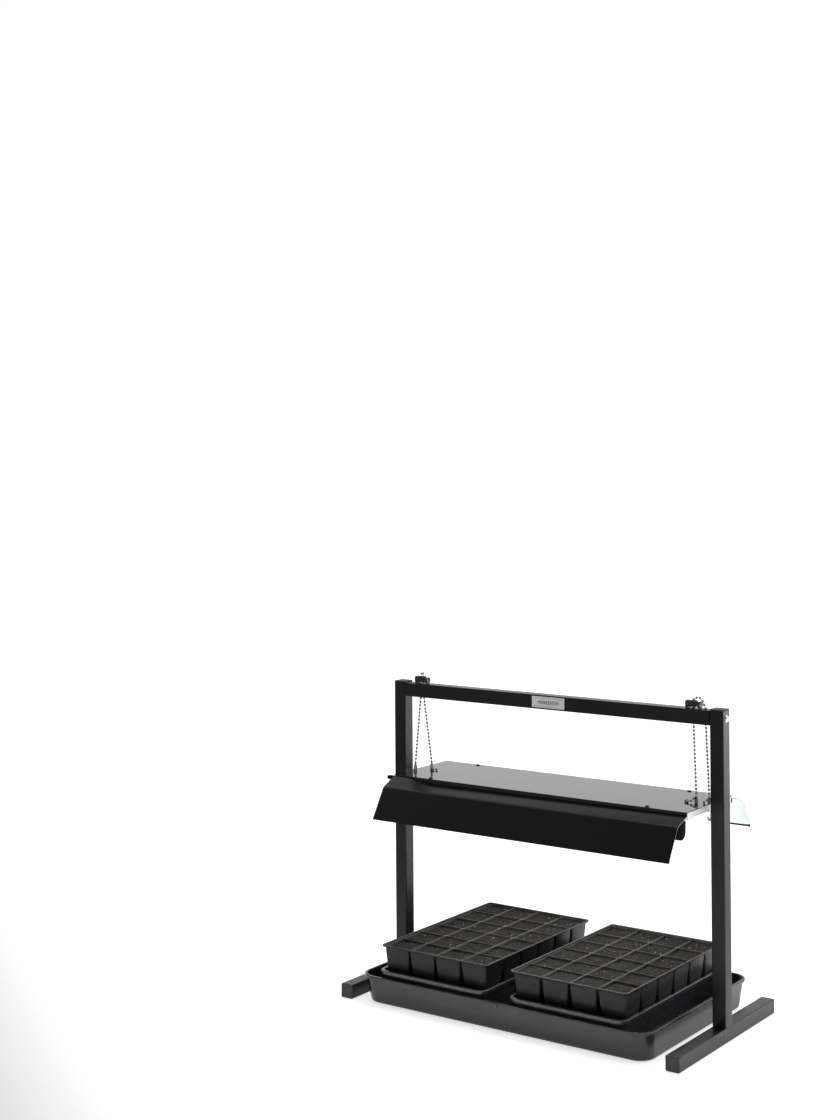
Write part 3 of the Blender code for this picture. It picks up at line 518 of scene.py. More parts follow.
# ---- bead chains --------------------------------------------------------------------------
BEAD = 2.35
LINK = 0.62  # radius of the wire between the beads
PITCH = 6.7
LIFT = 110
LOCK_X = {"left": -288, "right": 283.5}
LOCK_TOP = 571.0
BAR_LOW, BAR_TOP = 531.8, 557.2
EYE_Z = 405.5
COVER_TOP = 395.5


def box_middle(name):
    low, high = box_mm(name)
    return (low + high) / 2


EYES = {  # where each chain's end hooks on, in X and Y, from the CAD's eyes
    (side, spot): box_middle(f"chain_eye_{side}_{spot}").xy
    for side, _ in SIDES for spot in ("inner", "outer")
}


def resample(points, start, pitch, count):
    """Points every pitch along a polyline."""
    spans = [(b - a).length for a, b in zip(points, points[1:])]
    found = []
    for i in range(count):
        along = start + pitch * i
        for a, b, span in zip(points, points[1:], spans):
            if along <= span or b is points[-1]:
                found.append(a.lerp(b, min(1.0, along / span)))
                break
            along -= span
    return found


def path_length(points):
    return sum((b - a).length for a, b in zip(points, points[1:]))


def round_path(points, radius=3, steps=6):
    """The polyline with its inner corners rounded."""
    points = [Vector(p) for p in points]
    made = [points[0]]
    for before, here, after in zip(points, points[1:], points[2:]):
        reach = min(radius, (before - here).length * 0.48, (after - here).length * 0.48)
        a = here + (before - here).normalized() * reach
        b = here + (after - here).normalized() * reach
        for step in range(steps + 1):
            s = step / steps
            made.append(a * (1 - s) ** 2 + here * 2 * s * (1 - s) + b * s * s)
    made.append(points[-1])
    return made


def chain_paths(side):
    """The chain's run from one eye, up, over its lock, and down to the other eye: as it hangs at
    rest, and as it lies with the light raised, where the slack rests on top of the crossbar."""
    lane = 3.4
    x = LOCK_X[side]
    if side == "left":
        order = ("outer", "inner")
        first, second = (x - 1.1, -3.6), (x + 1.1, 3.6)
        rest_top = [(x, -2.7, LOCK_TOP + 2), (x, -2.5, 577.3), (x, 2.5, 577.3), (x, 2.7, LOCK_TOP + 2)]
        away, drop_x = 1, -266
    else:
        order = ("inner", "outer")
        loose = 306.5
        first, second = (x, 0), (loose, 0)
        rest_top = [(x, 0, LOCK_TOP), (x + 3.5, 0, 575.6), (x + 13, 0, 575.8),
                    (loose - 4.5, 0, 569), (loose - 0.6, 0, BAR_TOP + 3)]
        away, drop_x = -1, 264
    ends = [Vector((*EYES[side, spot], EYE_Z)) for spot in order]
    raised = [end + Vector((0, 0, LIFT)) for end in ends]
    low_a, low_b = (*first, BAR_LOW), (*second, BAR_LOW)
    rest = [ends[0], low_a, (*first, BAR_TOP + 1), *rest_top, (*second, BAR_TOP + 1), low_b, ends[1]]
    over = LOCK_TOP + BEAD + 1.2
    on_bar = BAR_TOP + BEAD
    turn = (drop_x + away * 9, drop_x + away * 16)

    def lay(reach):
        far = turn[1] + away * reach
        a = [raised[0], low_a, (*first, LOCK_TOP), (first[0], -lane * 0.9, over),
             (drop_x, -lane, over), (turn[0], -lane, on_bar + 3), (turn[1], -lane, on_bar),
             (far, -lane, on_bar), (far + away * 3.4, 0, on_bar)]
        b = [raised[1], low_b, (*second, BAR_TOP + 3), (second[0], lane * 0.9, over),
             (drop_x, lane, over), (turn[0], lane, on_bar + 3), (turn[1], lane, on_bar), (far, lane, on_bar)]
        return [*a, *reversed(b)]

    rest = round_path(rest)
    spare = path_length(rest) - path_length(round_path(lay(0.0)))
    return rest, round_path(lay(spare / 2))


def make_chain(side):
    rest, raised = chain_paths(side)
    total = path_length(rest)
    count = int(total / PITCH)
    start = (total - (count - 1) * PITCH) / 2
    places = resample(rest, start, PITCH, count)
    later = resample(raised, start, PITCH, count)
    spots = ("outer", "inner") if side == "left" else ("inner", "outer")
    stand_for = {2: spots[0], count // 2: "loop", count - 3: spots[1]}
    for i, (here, there) in enumerate(zip(places, later)):
        bm = bmesh.new()
        ball(bm, here, BEAD)
        for near in (i - 1, i + 1):  # each bead carries half of the link on either side
            reach = (places[near] - here) / 2 if 0 <= near < count else Vector((0, 0, -3))
            rod_between(bm, here, here + reach, LINK, 6)
        bead = piece(f"chain_bead_{side}_{i:02d}", bm, ("chain_steel",), "stand",
                     (f"chain_{side}_{stand_for[i]}",) if i in stand_for else (), 50)
        shift = there - here
        if shift.length > 0.01:
            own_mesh(bead)


def make_coupling(side, spot, tail):
    """The connector that clips the chain's end to its eye, and the spare beads beyond it, which lie
    on the cover. The tail's points are from the eye."""
    x, y = EYES[side, spot]
    top = Vector((x, y, 404.4))
    bm = bmesh.new()
    strip = ((-1.3, 0), (1.3, 0), (1.3, 0.4), (-1.3, 0.4))
    for way in (-1, 1):
        path = [top + Vector((0, way * out, up)) for out, up in ((1.3, 2.4), (1.45, -1.5), (1.3, -4.4))]
        skin(bm, [[p + Vector((dx, way * dy, 0)) for dx, dy in strip] for p in path])
    last = top + Vector((0, 0, 1.6))
    ball(bm, last, 1.9)
    pin, half_pin = top + Vector((0, 0, -3.1)), Vector((0, 2.1, 0))
    rod_between(bm, pin - half_pin, pin + half_pin, 0.8, 8)
    for dx, dy, up in tail:
        spare = Vector((x + dx, y + dy, COVER_TOP + BEAD + up))
        rod_between(bm, last, spare, LINK, 6)
        ball(bm, spare, BEAD * 0.95)
        last = spare
    piece(f"chain_coupling_{side}_{spot}", bm, ("chain_steel",), "light", (), 50)


def make_chain_ends():
    make_coupling("left", "inner", [(2.6, -4.6, 4.6), (5.8, -9.8, 1.4), (11.6, -11.8, 0.0),
                                    (16.4, -8.0, 0.0)])
    make_coupling("left", "outer", [(1.4, -4.6, 3.6), (4.0, -8.9, 0.0)])
    make_coupling("right", "inner", [(-3.0, -4.8, 4.8), (-5.0, -10.2, 1.6), (-10.6, -12.6, 0.0),
                                     (-16.0, -9.6, 0.0), (-15.4, -3.4, 0.0)])
    make_coupling("right", "outer", [(-1.8, -4.8, 3.6), (-5.8, -8.6, 0.0)])


# ---- chain locks --------------------------------------------------------------------------
LOCK_HALF_Y = 8
BORE_Z = 565.2
BLUNT = 3.2  # power of the lock's squarer sections


def oval(x, half_y, half_z, mid, power=2.6):
    """A soft-cornered ring in the YZ plane at x."""
    steps = 28
    ring = []
    for i in range(steps):
        angle = 2 * math.pi * i / steps
        c, s = math.cos(angle), math.sin(angle)
        ring.append(Vector((x, half_y * math.copysign(abs(c) ** (2 / power), c),
                            mid + half_z * math.copysign(abs(s) ** (2 / power), s))))
    return ring


def make_lock_body(side, x):
    """Ribbed barrel with a flared end, a bore for the plunger, and a collar round the chain's hole."""
    low = 559.2
    mid, half = (low + LOCK_TOP) / 2, (LOCK_TOP - low) / 2
    left = x - 13
    stations = [(0.0, 0.80, 0.82), (0.5, 0.94, 0.95), (1.4, 1.0, 1.0), (3.8, 1.0, 1.0), (4.5, 0.90, 0.90)]
    for rib in range(4):
        base = 5.2 + rib * 2.4
        stations += [(base, 0.87, 0.86), (base + 0.5, 0.95, 0.93), (base + 1.3, 0.95, 0.93),
                     (base + 1.8, 0.87, 0.86)]
    stations += [(14.9, 0.88, 0.88), (15.5, 0.98, 0.97), (17.7, 0.98, 0.97), (18.5, 0.86, 0.86)]
    bm = bmesh.new()
    rings = [oval(left + s, LOCK_HALF_Y * fy, half * fz, mid, BLUNT) for s, fy, fz in stations]
    rings += [oval(left + s, 6.65, 4.0, BORE_Z) for s in (18.5, 8.6)]
    skin(bm, rings)
    lathe(bm, (x, 0, LOCK_TOP - 1.1), (0, 0, 1), ((0, 6.2), (0.4, 6.2), (0.9, 5.7), (0.9, 4.4)), 28)
    foot = ((0.4, -6.4), (5.0, -6.4), (5.0, 6.4), (0.4, 6.4))
    skin(bm, [[Vector((left + px, py, z)) for px, py in foot] for z in (557.55, mid - 2)])
    piece(f"lock_body_{side}", bm, ("lock_plastic",), "stand", (f"chain_lock_{side}",), 40)


def make_lock_button(side, x):
    """The sprung plunger: a neck and a flared head."""
    head, low, high = 10.2, 557.6, 569.0
    mid, half = (low + high) / 2, (high - low) / 2
    rings = [oval(x + at, 6.4, 3.7, BORE_Z) for at in (8.3, head - 0.1)]
    for at, fy, fz, power in ((head, 0.92, 0.9, BLUNT), (head + 0.6, 1, 1, BLUNT),
                              (head + 2.9, 1, 1, BLUNT), (head + 3.9, 0.91, 0.9, 2.6),
                              (14.6, 0.78, 0.74, 2.6), (14.1, 0.62, 0.6, 2.6)):
        rings.append(oval(x + at, LOCK_HALF_Y * fy, half * fz, mid, power))
    bm = bmesh.new()
    skin(bm, rings)
    cheek = ((6.0, 562.6), (6.4, 562.6), (6.4, 567.8), (6.0, 567.8))
    for way in (-1, 1):  # two cheeks that slide in the body, with the chain's slot between them
        skin(bm, [[Vector((px, way * py, pz)) for py, pz in cheek] for px in (x + 0.8, x + 8.6)])
    piece(f"lock_head_{side}", bm, ("lock_plastic",), f"{side}_button",
          (f"lock_button_{side}",), 40)


# ---- fasteners and plate ------------------------------------------------------------------
def hexagon_radius(angle, flat):
    local = (angle % (math.pi / 3)) - math.pi / 6
    return flat / math.cos(local)


def make_bolts():
    """Button-head bolts with a hexagon socket, on a thin washer."""
    sides = 36
    angles = [2 * math.pi * i / sides for i in range(sides)]
    dome = ((0.0, 5.4), (0.4, 5.6), (1.1, 5.55), (1.9, 5.1), (2.6, 4.2), (2.95, 3.3), (3.0, 2.75))
    socket = ((2.85, 2.0), (1.0, 1.95), (0.8, 1.2))
    for side, sign in SIDES:
        face = Vector((sign * 345.3, 0, 544))

        def ring(along, radii):
            return [face + Vector((sign * along, radius * math.cos(angle), radius * math.sin(angle)))
                    for angle, radius in zip(angles, radii)]

        bm = bmesh.new()
        skin(bm, [*(ring(along, [radius] * sides) for along, radius in dome),
                  *(ring(along, [hexagon_radius(angle, flat) for angle in angles])
                    for along, flat in socket)])
        lathe(bm, face, (-sign, 0, 0), ((0, 3.0), (33.6, 3.0), (34, 2.6)), 20)
        lathe(bm, face - Vector((sign * 0.25, 0, 0)), (sign, 0, 0),
              ((0, 6.3), (0.3, 6.3), (0.45, 6.0), (0.45, 3.1)), 36)
        piece(f"bolt_head_{side}", bm, ("bright_steel",), "stand",
              (f"frame_bolt_{side}",), 40)


def in_cross(x, y):
    return (abs(x) < 0.42 and abs(y) < 2.1) or (abs(y) < 0.42 and abs(x) < 2.1)


def make_screws():
    """Pan-head screws with a cross recess, drawn as a fine height field on the head."""
    sides, rings, head = 48, 14, 4.0
    for side, sign in SIDES:
        for end, way in ENDS:
            centre = Vector((LIGHT.x + sign * 225, LIGHT.y + way * 78, 395.8))
            spin = 0.7 * sign + way
            layers = []
            for r in range(rings + 1):
                radius = head * (1 - r / (rings + 0.6))
                dome = 0.4 + 1.2 * math.sqrt(max(0.0, 1 - (radius / head) ** 2.4))
                ring = []
                for i in range(sides):
                    angle = 2 * math.pi * i / sides + 0.4
                    px, py = radius * math.cos(angle), radius * math.sin(angle)
                    cut = in_cross(radius * math.cos(angle + spin), radius * math.sin(angle + spin))
                    ring.append(centre + Vector((px, py, dome - (0.8 if cut else 0.0))))
                layers.append(ring)
            base = [Vector((p.x, p.y, centre.z)) for p in layers[0]]
            bm = bmesh.new()
            skin(bm, [base, *layers])
            lathe(bm, centre, (0, 0, -1), ((0, 1.8), (14, 1.8), (15, 0.9)), 16)
            piece(f"screw_{side}_{end}", bm, ("screw_black",), "light",
                  (f"cover_screw_{side}_{end}",), 35)


def make_name_plate():
    """A blank brushed plate with a pressed border and a plain leaf sprig between two rules."""
    low, high = box_mm("name_plate")
    middle = (low + high) / 2
    half = (high - low) / 2
    face = low.y + 0.12

    def ring(inset, depth):
        flat = corner_ring((0, 0), half.x - inset, half.z - inset, max(1.2 - inset, 0.3), 0, 4)
        return [Vector((middle.x + p.x, depth, middle.z + p.y)) for p in flat]

    def slab(points):
        skin(bm, [[Vector((middle.x + px, depth, middle.z + pz)) for px, pz in points]
                  for depth in (face + 0.05, face - 0.10)], mat=1)

    bm = bmesh.new()
    skin(bm, [ring(0, high.y), *(ring(inset, low.y + depth) for inset, depth in (
        (0, 0.25), (0.2, 0.08), (1.0, 0.08), (1.25, 0.32), (1.6, 0.32), (1.85, 0.12)))])
    for z in (7.0, -7.0):
        slab([(-30, z - 0.25), (30, z - 0.25), (30, z + 0.25), (-30, z + 0.25)])
    slab([(-23, -0.5), (23, -0.3), (23, 0.3), (-23, 0.5)])
    for i in range(11):
        px = -20 + i * 4
        size = 4.4 - 0.11 * abs(i - 5) ** 1.4
        for way in (1, -1):
            slab([(px, way * 0.2), (px + 0.4, way * size * 0.62), (px + 3.2, way * size),
                  (px + 2.6, way * size * 0.45)][::way])
    for way in (-1, 1):
        lathe(bm, (middle.x + way * 29.5, face + 0.1, middle.z), (0, -1, 0),
              ((0, 1.5), (0.2, 1.45), (0.35, 0.9)), 16)
    piece("plate_front", bm, ("plate_metal", "plate_ink"), "stand", ("name_plate",), 25)


# ---- the hood -----------------------------------------------------------------------------
LIGHT = Vector((6, 7, 0))
HALF_LIGHT = 304
BEND = {"front": (119.5, 377.3), "back": (128.0, 383.0)}
LIP = {"front": (152.5, 324.3), "back": (159.0, 329.5)}
ROUND = {"front": 3.2, "back": 22}
SHEET = 1.2
TOP_EDGE = ((-304, 393.4), (-273, 393.4), (-262, 392.4), (-221, 387.4), (-205, 387.2), (270, 389.8),
            (304, 390.2))
STATIONS = (-304, -303.2, -290, -278, -272, -266, -260, -250, -240, -228, -220, -212, -204,
            *range(-180, 290, 30), 296, 303.2, 304)
LAMP_Y, LAMP_Z, HALF_LAMP = 71, 358, 274.5


def bend_line(before, corner, after, back_off, steps):
    first = corner + (before - corner).normalized() * back_off
    last = corner + (after - corner).normalized() * back_off
    return [first * (1 - s) ** 2 + corner * 2 * s * (1 - s) + last * s * s
            for s in (step / steps for step in range(steps + 1))]


def top_edge(local, end):
    """Height of a wing's top edge. The front one rises to the cover at its left end."""
    if end == "back":
        return 391.5
    for (x0, z0), (x1, z1) in zip(TOP_EDGE, TOP_EDGE[1:]):
        if local <= x1:
            return z0 + (z1 - z0) * (local - x0) / (x1 - x0)
    return TOP_EDGE[-1][1]


def wing_line(local, end):
    """Outer face of the wing in section: distance from the light's middle, and height."""
    shoulder = Vector((84.3, top_edge(local, end)))
    knee = shoulder + Vector((1.6, -0.1))
    bend, lip = Vector(BEND[end]), Vector(LIP[end])
    line = [shoulder - Vector((0, 9)), shoulder - Vector((0, 0.8)), shoulder + Vector((0.3, -0.2)), knee]
    line += bend_line(knee, bend, lip, ROUND[end], 8 if end == "front" else 14)
    last = line[-1]
    line.insert(4, line[4] + (knee - line[4]).normalized() * 0.6)
    return [*line, *(last.lerp(lip, share) for share in (0.01, 0.34, 0.67, 1.0))]


def offset(line, distance):
    moved = []
    for i, point in enumerate(line):
        parts = []
        if i + 1 < len(line):
            parts.append((line[i + 1] - point).normalized())
        if i:
            parts.append((point - line[i - 1]).normalized())
        normals = [Vector((v.y, -v.x)) for v in parts]
        mean = sum(normals, Vector((0, 0))).normalized()
        moved.append(point + mean * (distance / max(0.5, mean.dot(normals[0]))))
    return moved


def make_wings():
    for end, way in ENDS:
        bm = bmesh.new()
        outer, inner = [], []
        last = len(STATIONS) - 1
        for k, local in enumerate(STATIONS):
            line = wing_line(local, end)
            under = offset(line, SHEET)
            if k in (0, last):  # the cut ends are eased
                middle = [(a + b) / 2 for a, b in zip(line, under)]
                line = [m + (a - m) * 0.6 for m, a in zip(middle, line)]
                under = [m + (a - m) * 0.6 for m, a in zip(middle, under)]
            for rows, points in ((outer, line), (inner, under)):
                rows.append([bm.verts.new((LIGHT.x + local, LIGHT.y + way * p.x, p.y)) for p in points])
        count = len(outer[0])

        def quad(a, b, c, d, mat):
            bm.faces.new((a, b, c, d)).material_index = mat

        for k in range(last):
            for i in range(count - 1):
                quad(outer[k][i], outer[k][i + 1], outer[k + 1][i + 1], outer[k + 1][i], 0)
                quad(inner[k][i], inner[k + 1][i], inner[k + 1][i + 1], inner[k][i + 1], 1)
            for i in (0, count - 1):
                quad(outer[k][i], outer[k + 1][i], inner[k + 1][i], inner[k][i], 0)
        for k in (0, last):
            for i in range(count - 1):
                quad(outer[k][i], outer[k][i + 1], inner[k][i + 1], inner[k][i], 2)
        add_hem(bm, end, way)
        face_weighted(piece(f"wing_sheet_{end}", bm,
                            ("wing_paint", "wing_white", "cut_edge", "holder_plastic"),
                            "light", (f"wing_{end}",), 30))


def add_hem(bm, end, way):
    """The lip folded back up against the inner face: black round the fold, white above it."""
    lip = Vector(LIP[end])
    up = (Vector(BEND[end]) - lip).normalized()
    inward = Vector((-up.y, up.x))
    if inward.x > 0:
        inward = -inward
    shape = ((0.2, -0.35), (1.2, -0.6), (2.1, -0.3), (2.5, 0.5), (2.5, 2.5), (2.5, 4.0), (2.2, 4.4),
             (1.25, 4.4), (0.6, 2.0))
    hem = [lip + inward * across + up * along for across, along in shape]
    before = set(bm.faces)
    skin(bm, [[Vector((LIGHT.x + s * (HALF_LIGHT - 0.15), LIGHT.y + way * p.x, p.y)) for p in hem]
              for s in (-1, 1)])
    for face in set(bm.faces) - before:
        white = face.calc_center_median().z > lip.y + 2.6 and abs(face.normal.x) < 0.5
        face.material_index = 1 if white else 3


def make_housing():
    """The pan under the cover: black sides, which are painted shade for the dark strip under the cover's edge,
    a white underside, and beads pressed along it.
    """
    bm = bmesh.new()
    half_x, half_y = 303, 84
    under, top = 382.0, 394.0

    def ring(inset, z):
        return corner_ring(LIGHT, half_x - inset, half_y - inset, max(2 - inset, 0.3), z, 4)

    outside = skin(bm, [ring(0, top), ring(0, under + 1.0), ring(0.3, under + 0.3), ring(1.0, under)],
                   caps=False)
    inside = skin(bm, [ring(1.2, under + 1.2), ring(1.2, top)], caps=False)
    bm.faces.new(outside[-1])
    bm.faces.new(inside[0][::-1])
    for i in range(len(outside[0])):
        j = (i + 1) % len(outside[0])
        bm.faces.new((outside[0][i], outside[0][j], inside[1][j], inside[1][i]))
    # painted shade: the white pan's sides take the black wing paint to stand for the shadowed gap under the
    # cover's edge
    for face in bm.faces:
        middle = face.calc_center_median()
        side = middle.z > under + 0.7 and abs(middle.y - LIGHT.y) > half_y - 1.6
        face.material_index = 0 if side else 1
    face_weighted(piece("housing_pan", bm, ("wing_paint", "housing_white"), "light",
                        ("light_housing",), 34))
    arc = [math.pi * i / 8 for i in range(9)]
    for end, way in ENDS:  # beads pressed into the pan between lamp and wing
        bm = bmesh.new()
        for y in (52, 60):
            skin(bm, [[Vector((LIGHT.x + local, LIGHT.y + way * (y + 1.6 * math.cos(angle)),
                               under + 0.02 - tall * math.sin(angle))) for angle in arc]
                      for local, tall in ((-262, 0.05), (-258, 0.9), (258, 0.9), (262, 0.05))],
                 looped=False, caps=False)
        piece(f"pan_beads_{end}", bm, ("housing_white",), "light", (), 60)


def make_lampholders():
    """Bi-pin holders: a rounded body with a stepped recess for the lamp's cap and pins."""
    for side, sign in SIDES:
        for end, _ in ENDS:
            name = f"lampholder_{side}_{end}"
            low, high = box_mm(name)
            y = (low.y + high.y) / 2
            face, back = (low.x, high.x) if sign > 0 else (high.x, low.x)

            def outline(inset, x):
                radius = 14 - inset
                points = [Vector((x, y + radius, high.z - inset)), Vector((x, y - radius, high.z - inset))]
                for step in range(19):
                    angle = math.pi * (1 + step / 18)
                    points.append(Vector((x, y + radius * math.cos(angle),
                                          LAMP_Z + radius * math.sin(angle))))
                return points

            bm = bmesh.new()
            skin(bm, [*(outline(inset, face + sign * at) for inset, at in ((0.9, 0), (0.2, 0.5), (0, 1.2))),
                      *(outline(inset, back - sign * at) for inset, at in ((0, 1.4), (0.3, 0.5), (1.2, 0)))])
            holder = piece(f"holder_{side}_{end}", bm, ("holder_plastic",), "light",
                           (name,), 34)
            recess = bmesh.new()
            lathe(recess, (face - sign * 2, y, LAMP_Z), (sign, 0, 0),
                  ((0, 9.2), (3.2, 9.2), (3.2, 4.9), (11, 4.9)), 36)
            cut_out(holder, recess)


def cut_out(obj, bm):
    """Takes a shape away from a piece for good."""
    bmesh.ops.recalc_face_normals(bm, faces=bm.faces)
    cutter = link("cutter", to_mesh("cutter", bm))
    step = obj.modifiers.new("cut", "BOOLEAN")
    step.operation = "DIFFERENCE"
    step.solver = "EXACT"
    step.object = cutter
    bpy.context.view_layer.update()
    graph = bpy.context.evaluated_depsgraph_get()
    made = bpy.data.meshes.new_from_object(obj.evaluated_get(graph))
    obj.modifiers.remove(step)
    obj.data = made
    shade(made, SHARP)
    bpy.data.objects.remove(cutter, do_unlink=True)


def make_lamps():
    """T5 tubes: frosted glass, a rolled metal cap at each end, and two pins through it."""
    inside = HALF_LAMP - 9
    glass = ((-inside, 7.2), *((inside * (i / 6 - 1), 7.75) for i in range(13)), (inside, 7.2))
    cap = ((0, 3.0), (0, 6.6), (0.5, 7.6), (1.2, 8.0), (7.2, 8.0), (7.8, 7.7), (8.2, 8.0), (9.6, 8.0),
           (10, 7.6), (10, 7))
    for end, way in ENDS:
        y = LIGHT.y + way * LAMP_Y
        body = f"{end}_lamp"
        bm = bmesh.new()
        lathe(bm, (LIGHT.x, y, LAMP_Z), (1, 0, 0), glass, 32)
        piece(f"lamp_tube_{end}", bm, ("lamp_glass",), body, (f"lamp_{end}",), 40)
        bm = bmesh.new()
        for sign in (-1, 1):
            tip = LIGHT.x + sign * HALF_LAMP
            lathe(bm, (tip, y, LAMP_Z), (-sign, 0, 0), cap, 32)
            lathe(bm, (tip - sign * 0.2, y, LAMP_Z), (sign, 0, 0),
                  ((0, 4.4), (0.35, 4.2), (0.35, 1)), 24, mat=1)
            for pin in (-1, 1):
                lathe(bm, (tip, y, LAMP_Z + pin * 2.35), (sign, 0, 0),
                      ((0, 1.15), (5.6, 1.15), (6.3, 0.8), (6.5, 0.3)), 14)
        piece(f"lamp_caps_{end}", bm, ("cap_metal", "holder_plastic"), body, (), 35)


def make_power_inlet():
    """Strain relief of the mains inlet: a flange, a ribbed sleeve and a round nose."""
    middle = box_middle("power_inlet")
    bm = bmesh.new()
    profile = [(0, 3.0), (0, 5.0), (0.4, 5.2), (2.1, 5.2), (2.5, 4.9), (2.5, 4.2)]
    for rib in range(5):
        base = 3.4 + rib * 2.3
        profile += [(base, 4.15), (base + 0.3, 3.7), (base + 0.9, 3.7), (base + 1.2, 4.1)]
    profile += [(15.4, 4.1), (18.6, 3.9), (20.6, 3.4), (21.6, 2.4), (22.0, 1.2)]
    lathe(bm, (box_mm("power_inlet")[1].x, middle.y, middle.z), (-1, 0, 0), profile, 28)
    piece("inlet_sleeve", bm, ("holder_plastic",), "light", ("power_inlet",), 34)


# ---- trays --------------------------------------------------------------------------------
FOOT_ROUND = 4.5
TRAY_HEIGHT, TRAY_LIP, TRAY_ROLL = 51, 3.5, 5


def sin_cos(degrees):
    return math.sin(math.radians(degrees)), math.cos(math.radians(degrees))


def shell(name, centre, rim, base, corner, z0, height, lip, wall, roll, floor, body, slot, replaced,
          grooves, steps):
    """A thermoformed tray: drafted walls, a rolled rim that is hollow beneath, a rounded foot and
    shallow grooves round its floor."""
    rim_x, rim_y = rim[0] / 2, rim[1] / 2
    base_x, base_y = base[0] / 2, base[1] / 2
    low = height - roll

    def at_rim(inset, z):
        return corner_ring(centre, rim_x - inset, rim_y - inset, corner + lip - inset, z0 + z, steps)

    def wall_at(share, inset, z):
        half_x = base_x + (rim_x - lip - base_x) * share - inset
        half_y = base_y + (rim_y - lip - base_y) * share - inset
        return corner_ring(centre, half_x, half_y, corner - inset * 0.6, z0 + z, steps)

    def foot(angles, inset, lift):
        for angle in angles:
            s, c = sin_cos(angle)
            up = lift + FOOT_ROUND * (1 - c)
            rings.append(wall_at(up / low, inset + FOOT_ROUND * (1 - s), up))

    t = 1.3
    gap = max(roll - 2 * t, 0.6)
    bow = min(1.1, lip / 2)
    inner = lip + wall * 0.6
    rings = [corner_ring(centre, base_x - 14, base_y - 14, corner - 8, z0, steps)]
    foot((0, 25, 50, 75, 90), 0, 0)
    rings += [wall_at(share, 0, share * low) for share in (0.3, 0.5, 0.7, 0.9)]
    rings.append(wall_at(0.985, 0, low - 0.3))
    rings += [at_rim(inset, low + up) for inset, up in (
        (lip - 0.4, 0.6), (lip - 0.5, gap), (t + 0.3, gap), (t, gap - 0.4), (t, 0.1), (0.25, 0), (0.0, 0.5))]
    rings.append(at_rim(0.0, height - bow))
    for angle in (22, 45, 67, 90):
        s, c = sin_cos(angle)
        rings.append(at_rim(bow * (1 - c), height - bow * (1 - s)))
    for angle in (90, 60, 30, 0):
        s, c = sin_cos(angle)
        rings.append(at_rim(inner - bow * c, height - bow * (1 - s)))
    rings += [wall_at(share, wall, share * low) for share in (0.9, 0.7, 0.5, 0.3)]
    foot((90, 65, 40, 15, 0), wall, floor)
    for inset, sink in grooves:
        rings.append(corner_ring(centre, base_x - inset, base_y - inset, max(corner - inset * 0.6, 3),
                                 z0 + floor - sink, steps))
    bm = bmesh.new()
    skin(bm, rings)
    face_weighted(piece(name, bm, (slot,), body, replaced, 30))


def groove_rings(start, gap, count, depth):
    return [(start + gap * i + across, sink) for i in range(count)
            for across, sink in ((0, 0), (0.8, depth), (3.2, depth), (4.0, 0))]


def make_drip_tray():
    shell("tray_shell", (-7, 10), (593, 391), (577, 367), 29, 0, TRAY_HEIGHT, TRAY_LIP, 2, TRAY_ROLL, 2.3,
          "tray", "tray_plastic", ("drip_tray",), groove_rings(26, 22, 3, 0.9), 16)
    # small moulded gussets under the rim, at the middle of the front and back and on both ends
    bm = bmesh.new()
    under = TRAY_HEIGHT - TRAY_ROLL
    for px, py, out_x, out_y in ((-7, -185.5, 0, -1), (-7, 205.5, 0, 1),
                                 (289.5, 10, 1, 0), (-303.5, 10, -1, 0)):
        side = Vector((abs(out_y), abs(out_x), 0)) * 2.6
        out = Vector((out_x, out_y, 0))
        edge = Vector((px, py, under)) - out * 0.6
        wall = edge - out * (TRAY_LIP + 2.4)
        corners = [edge + Vector((0, 0, 0.4)), wall + Vector((0, 0, 0.4)), wall - Vector((0, 0, 8.5))]
        skin(bm, [[p - side for p in corners], [p + side for p in corners]])
    piece("tray_gussets", bm, ("tray_plastic",), "tray", (), 30)


TRAY_X = {"left": -152, "right": 125}
RESERVOIR_Y, INSERT_Y = 11, 15
CELLS = (4, 6)
CELL_PITCH = (55.5, 58)
DECK, RIM_TOP, UNDER = 101.2, 104, 45.6
CELL_FOOT, CELL_MOUTH = (21.5, 22.75), (26.75, 28.0)


def make_reservoirs():
    for side, x in TRAY_X.items():
        shell(f"reservoir_shell_{side}", (x, RESERVOIR_Y), (231, 370), (211, 350), 13, 2.6, 58.4, 5, 1.5, 7,
              1.5, f"{side}_reservoir", "reservoir_plastic", (f"reservoir_{side}",),
              groove_rings(14, 12, 2, 0.5), 12)


def cell_centres(x):
    for i in range(CELLS[0]):
        for j in range(CELLS[1]):
            yield (x + (i - (CELLS[0] - 1) / 2) * CELL_PITCH[0],
                   INSERT_Y + (j - (CELLS[1] - 1) / 2) * CELL_PITCH[1])


def cell_half(z, inset=0.0):
    share = (z - UNDER) / (DECK - UNDER)
    return [foot + (mouth - foot) * share - inset for foot, mouth in zip(CELL_FOOT, CELL_MOUTH)]


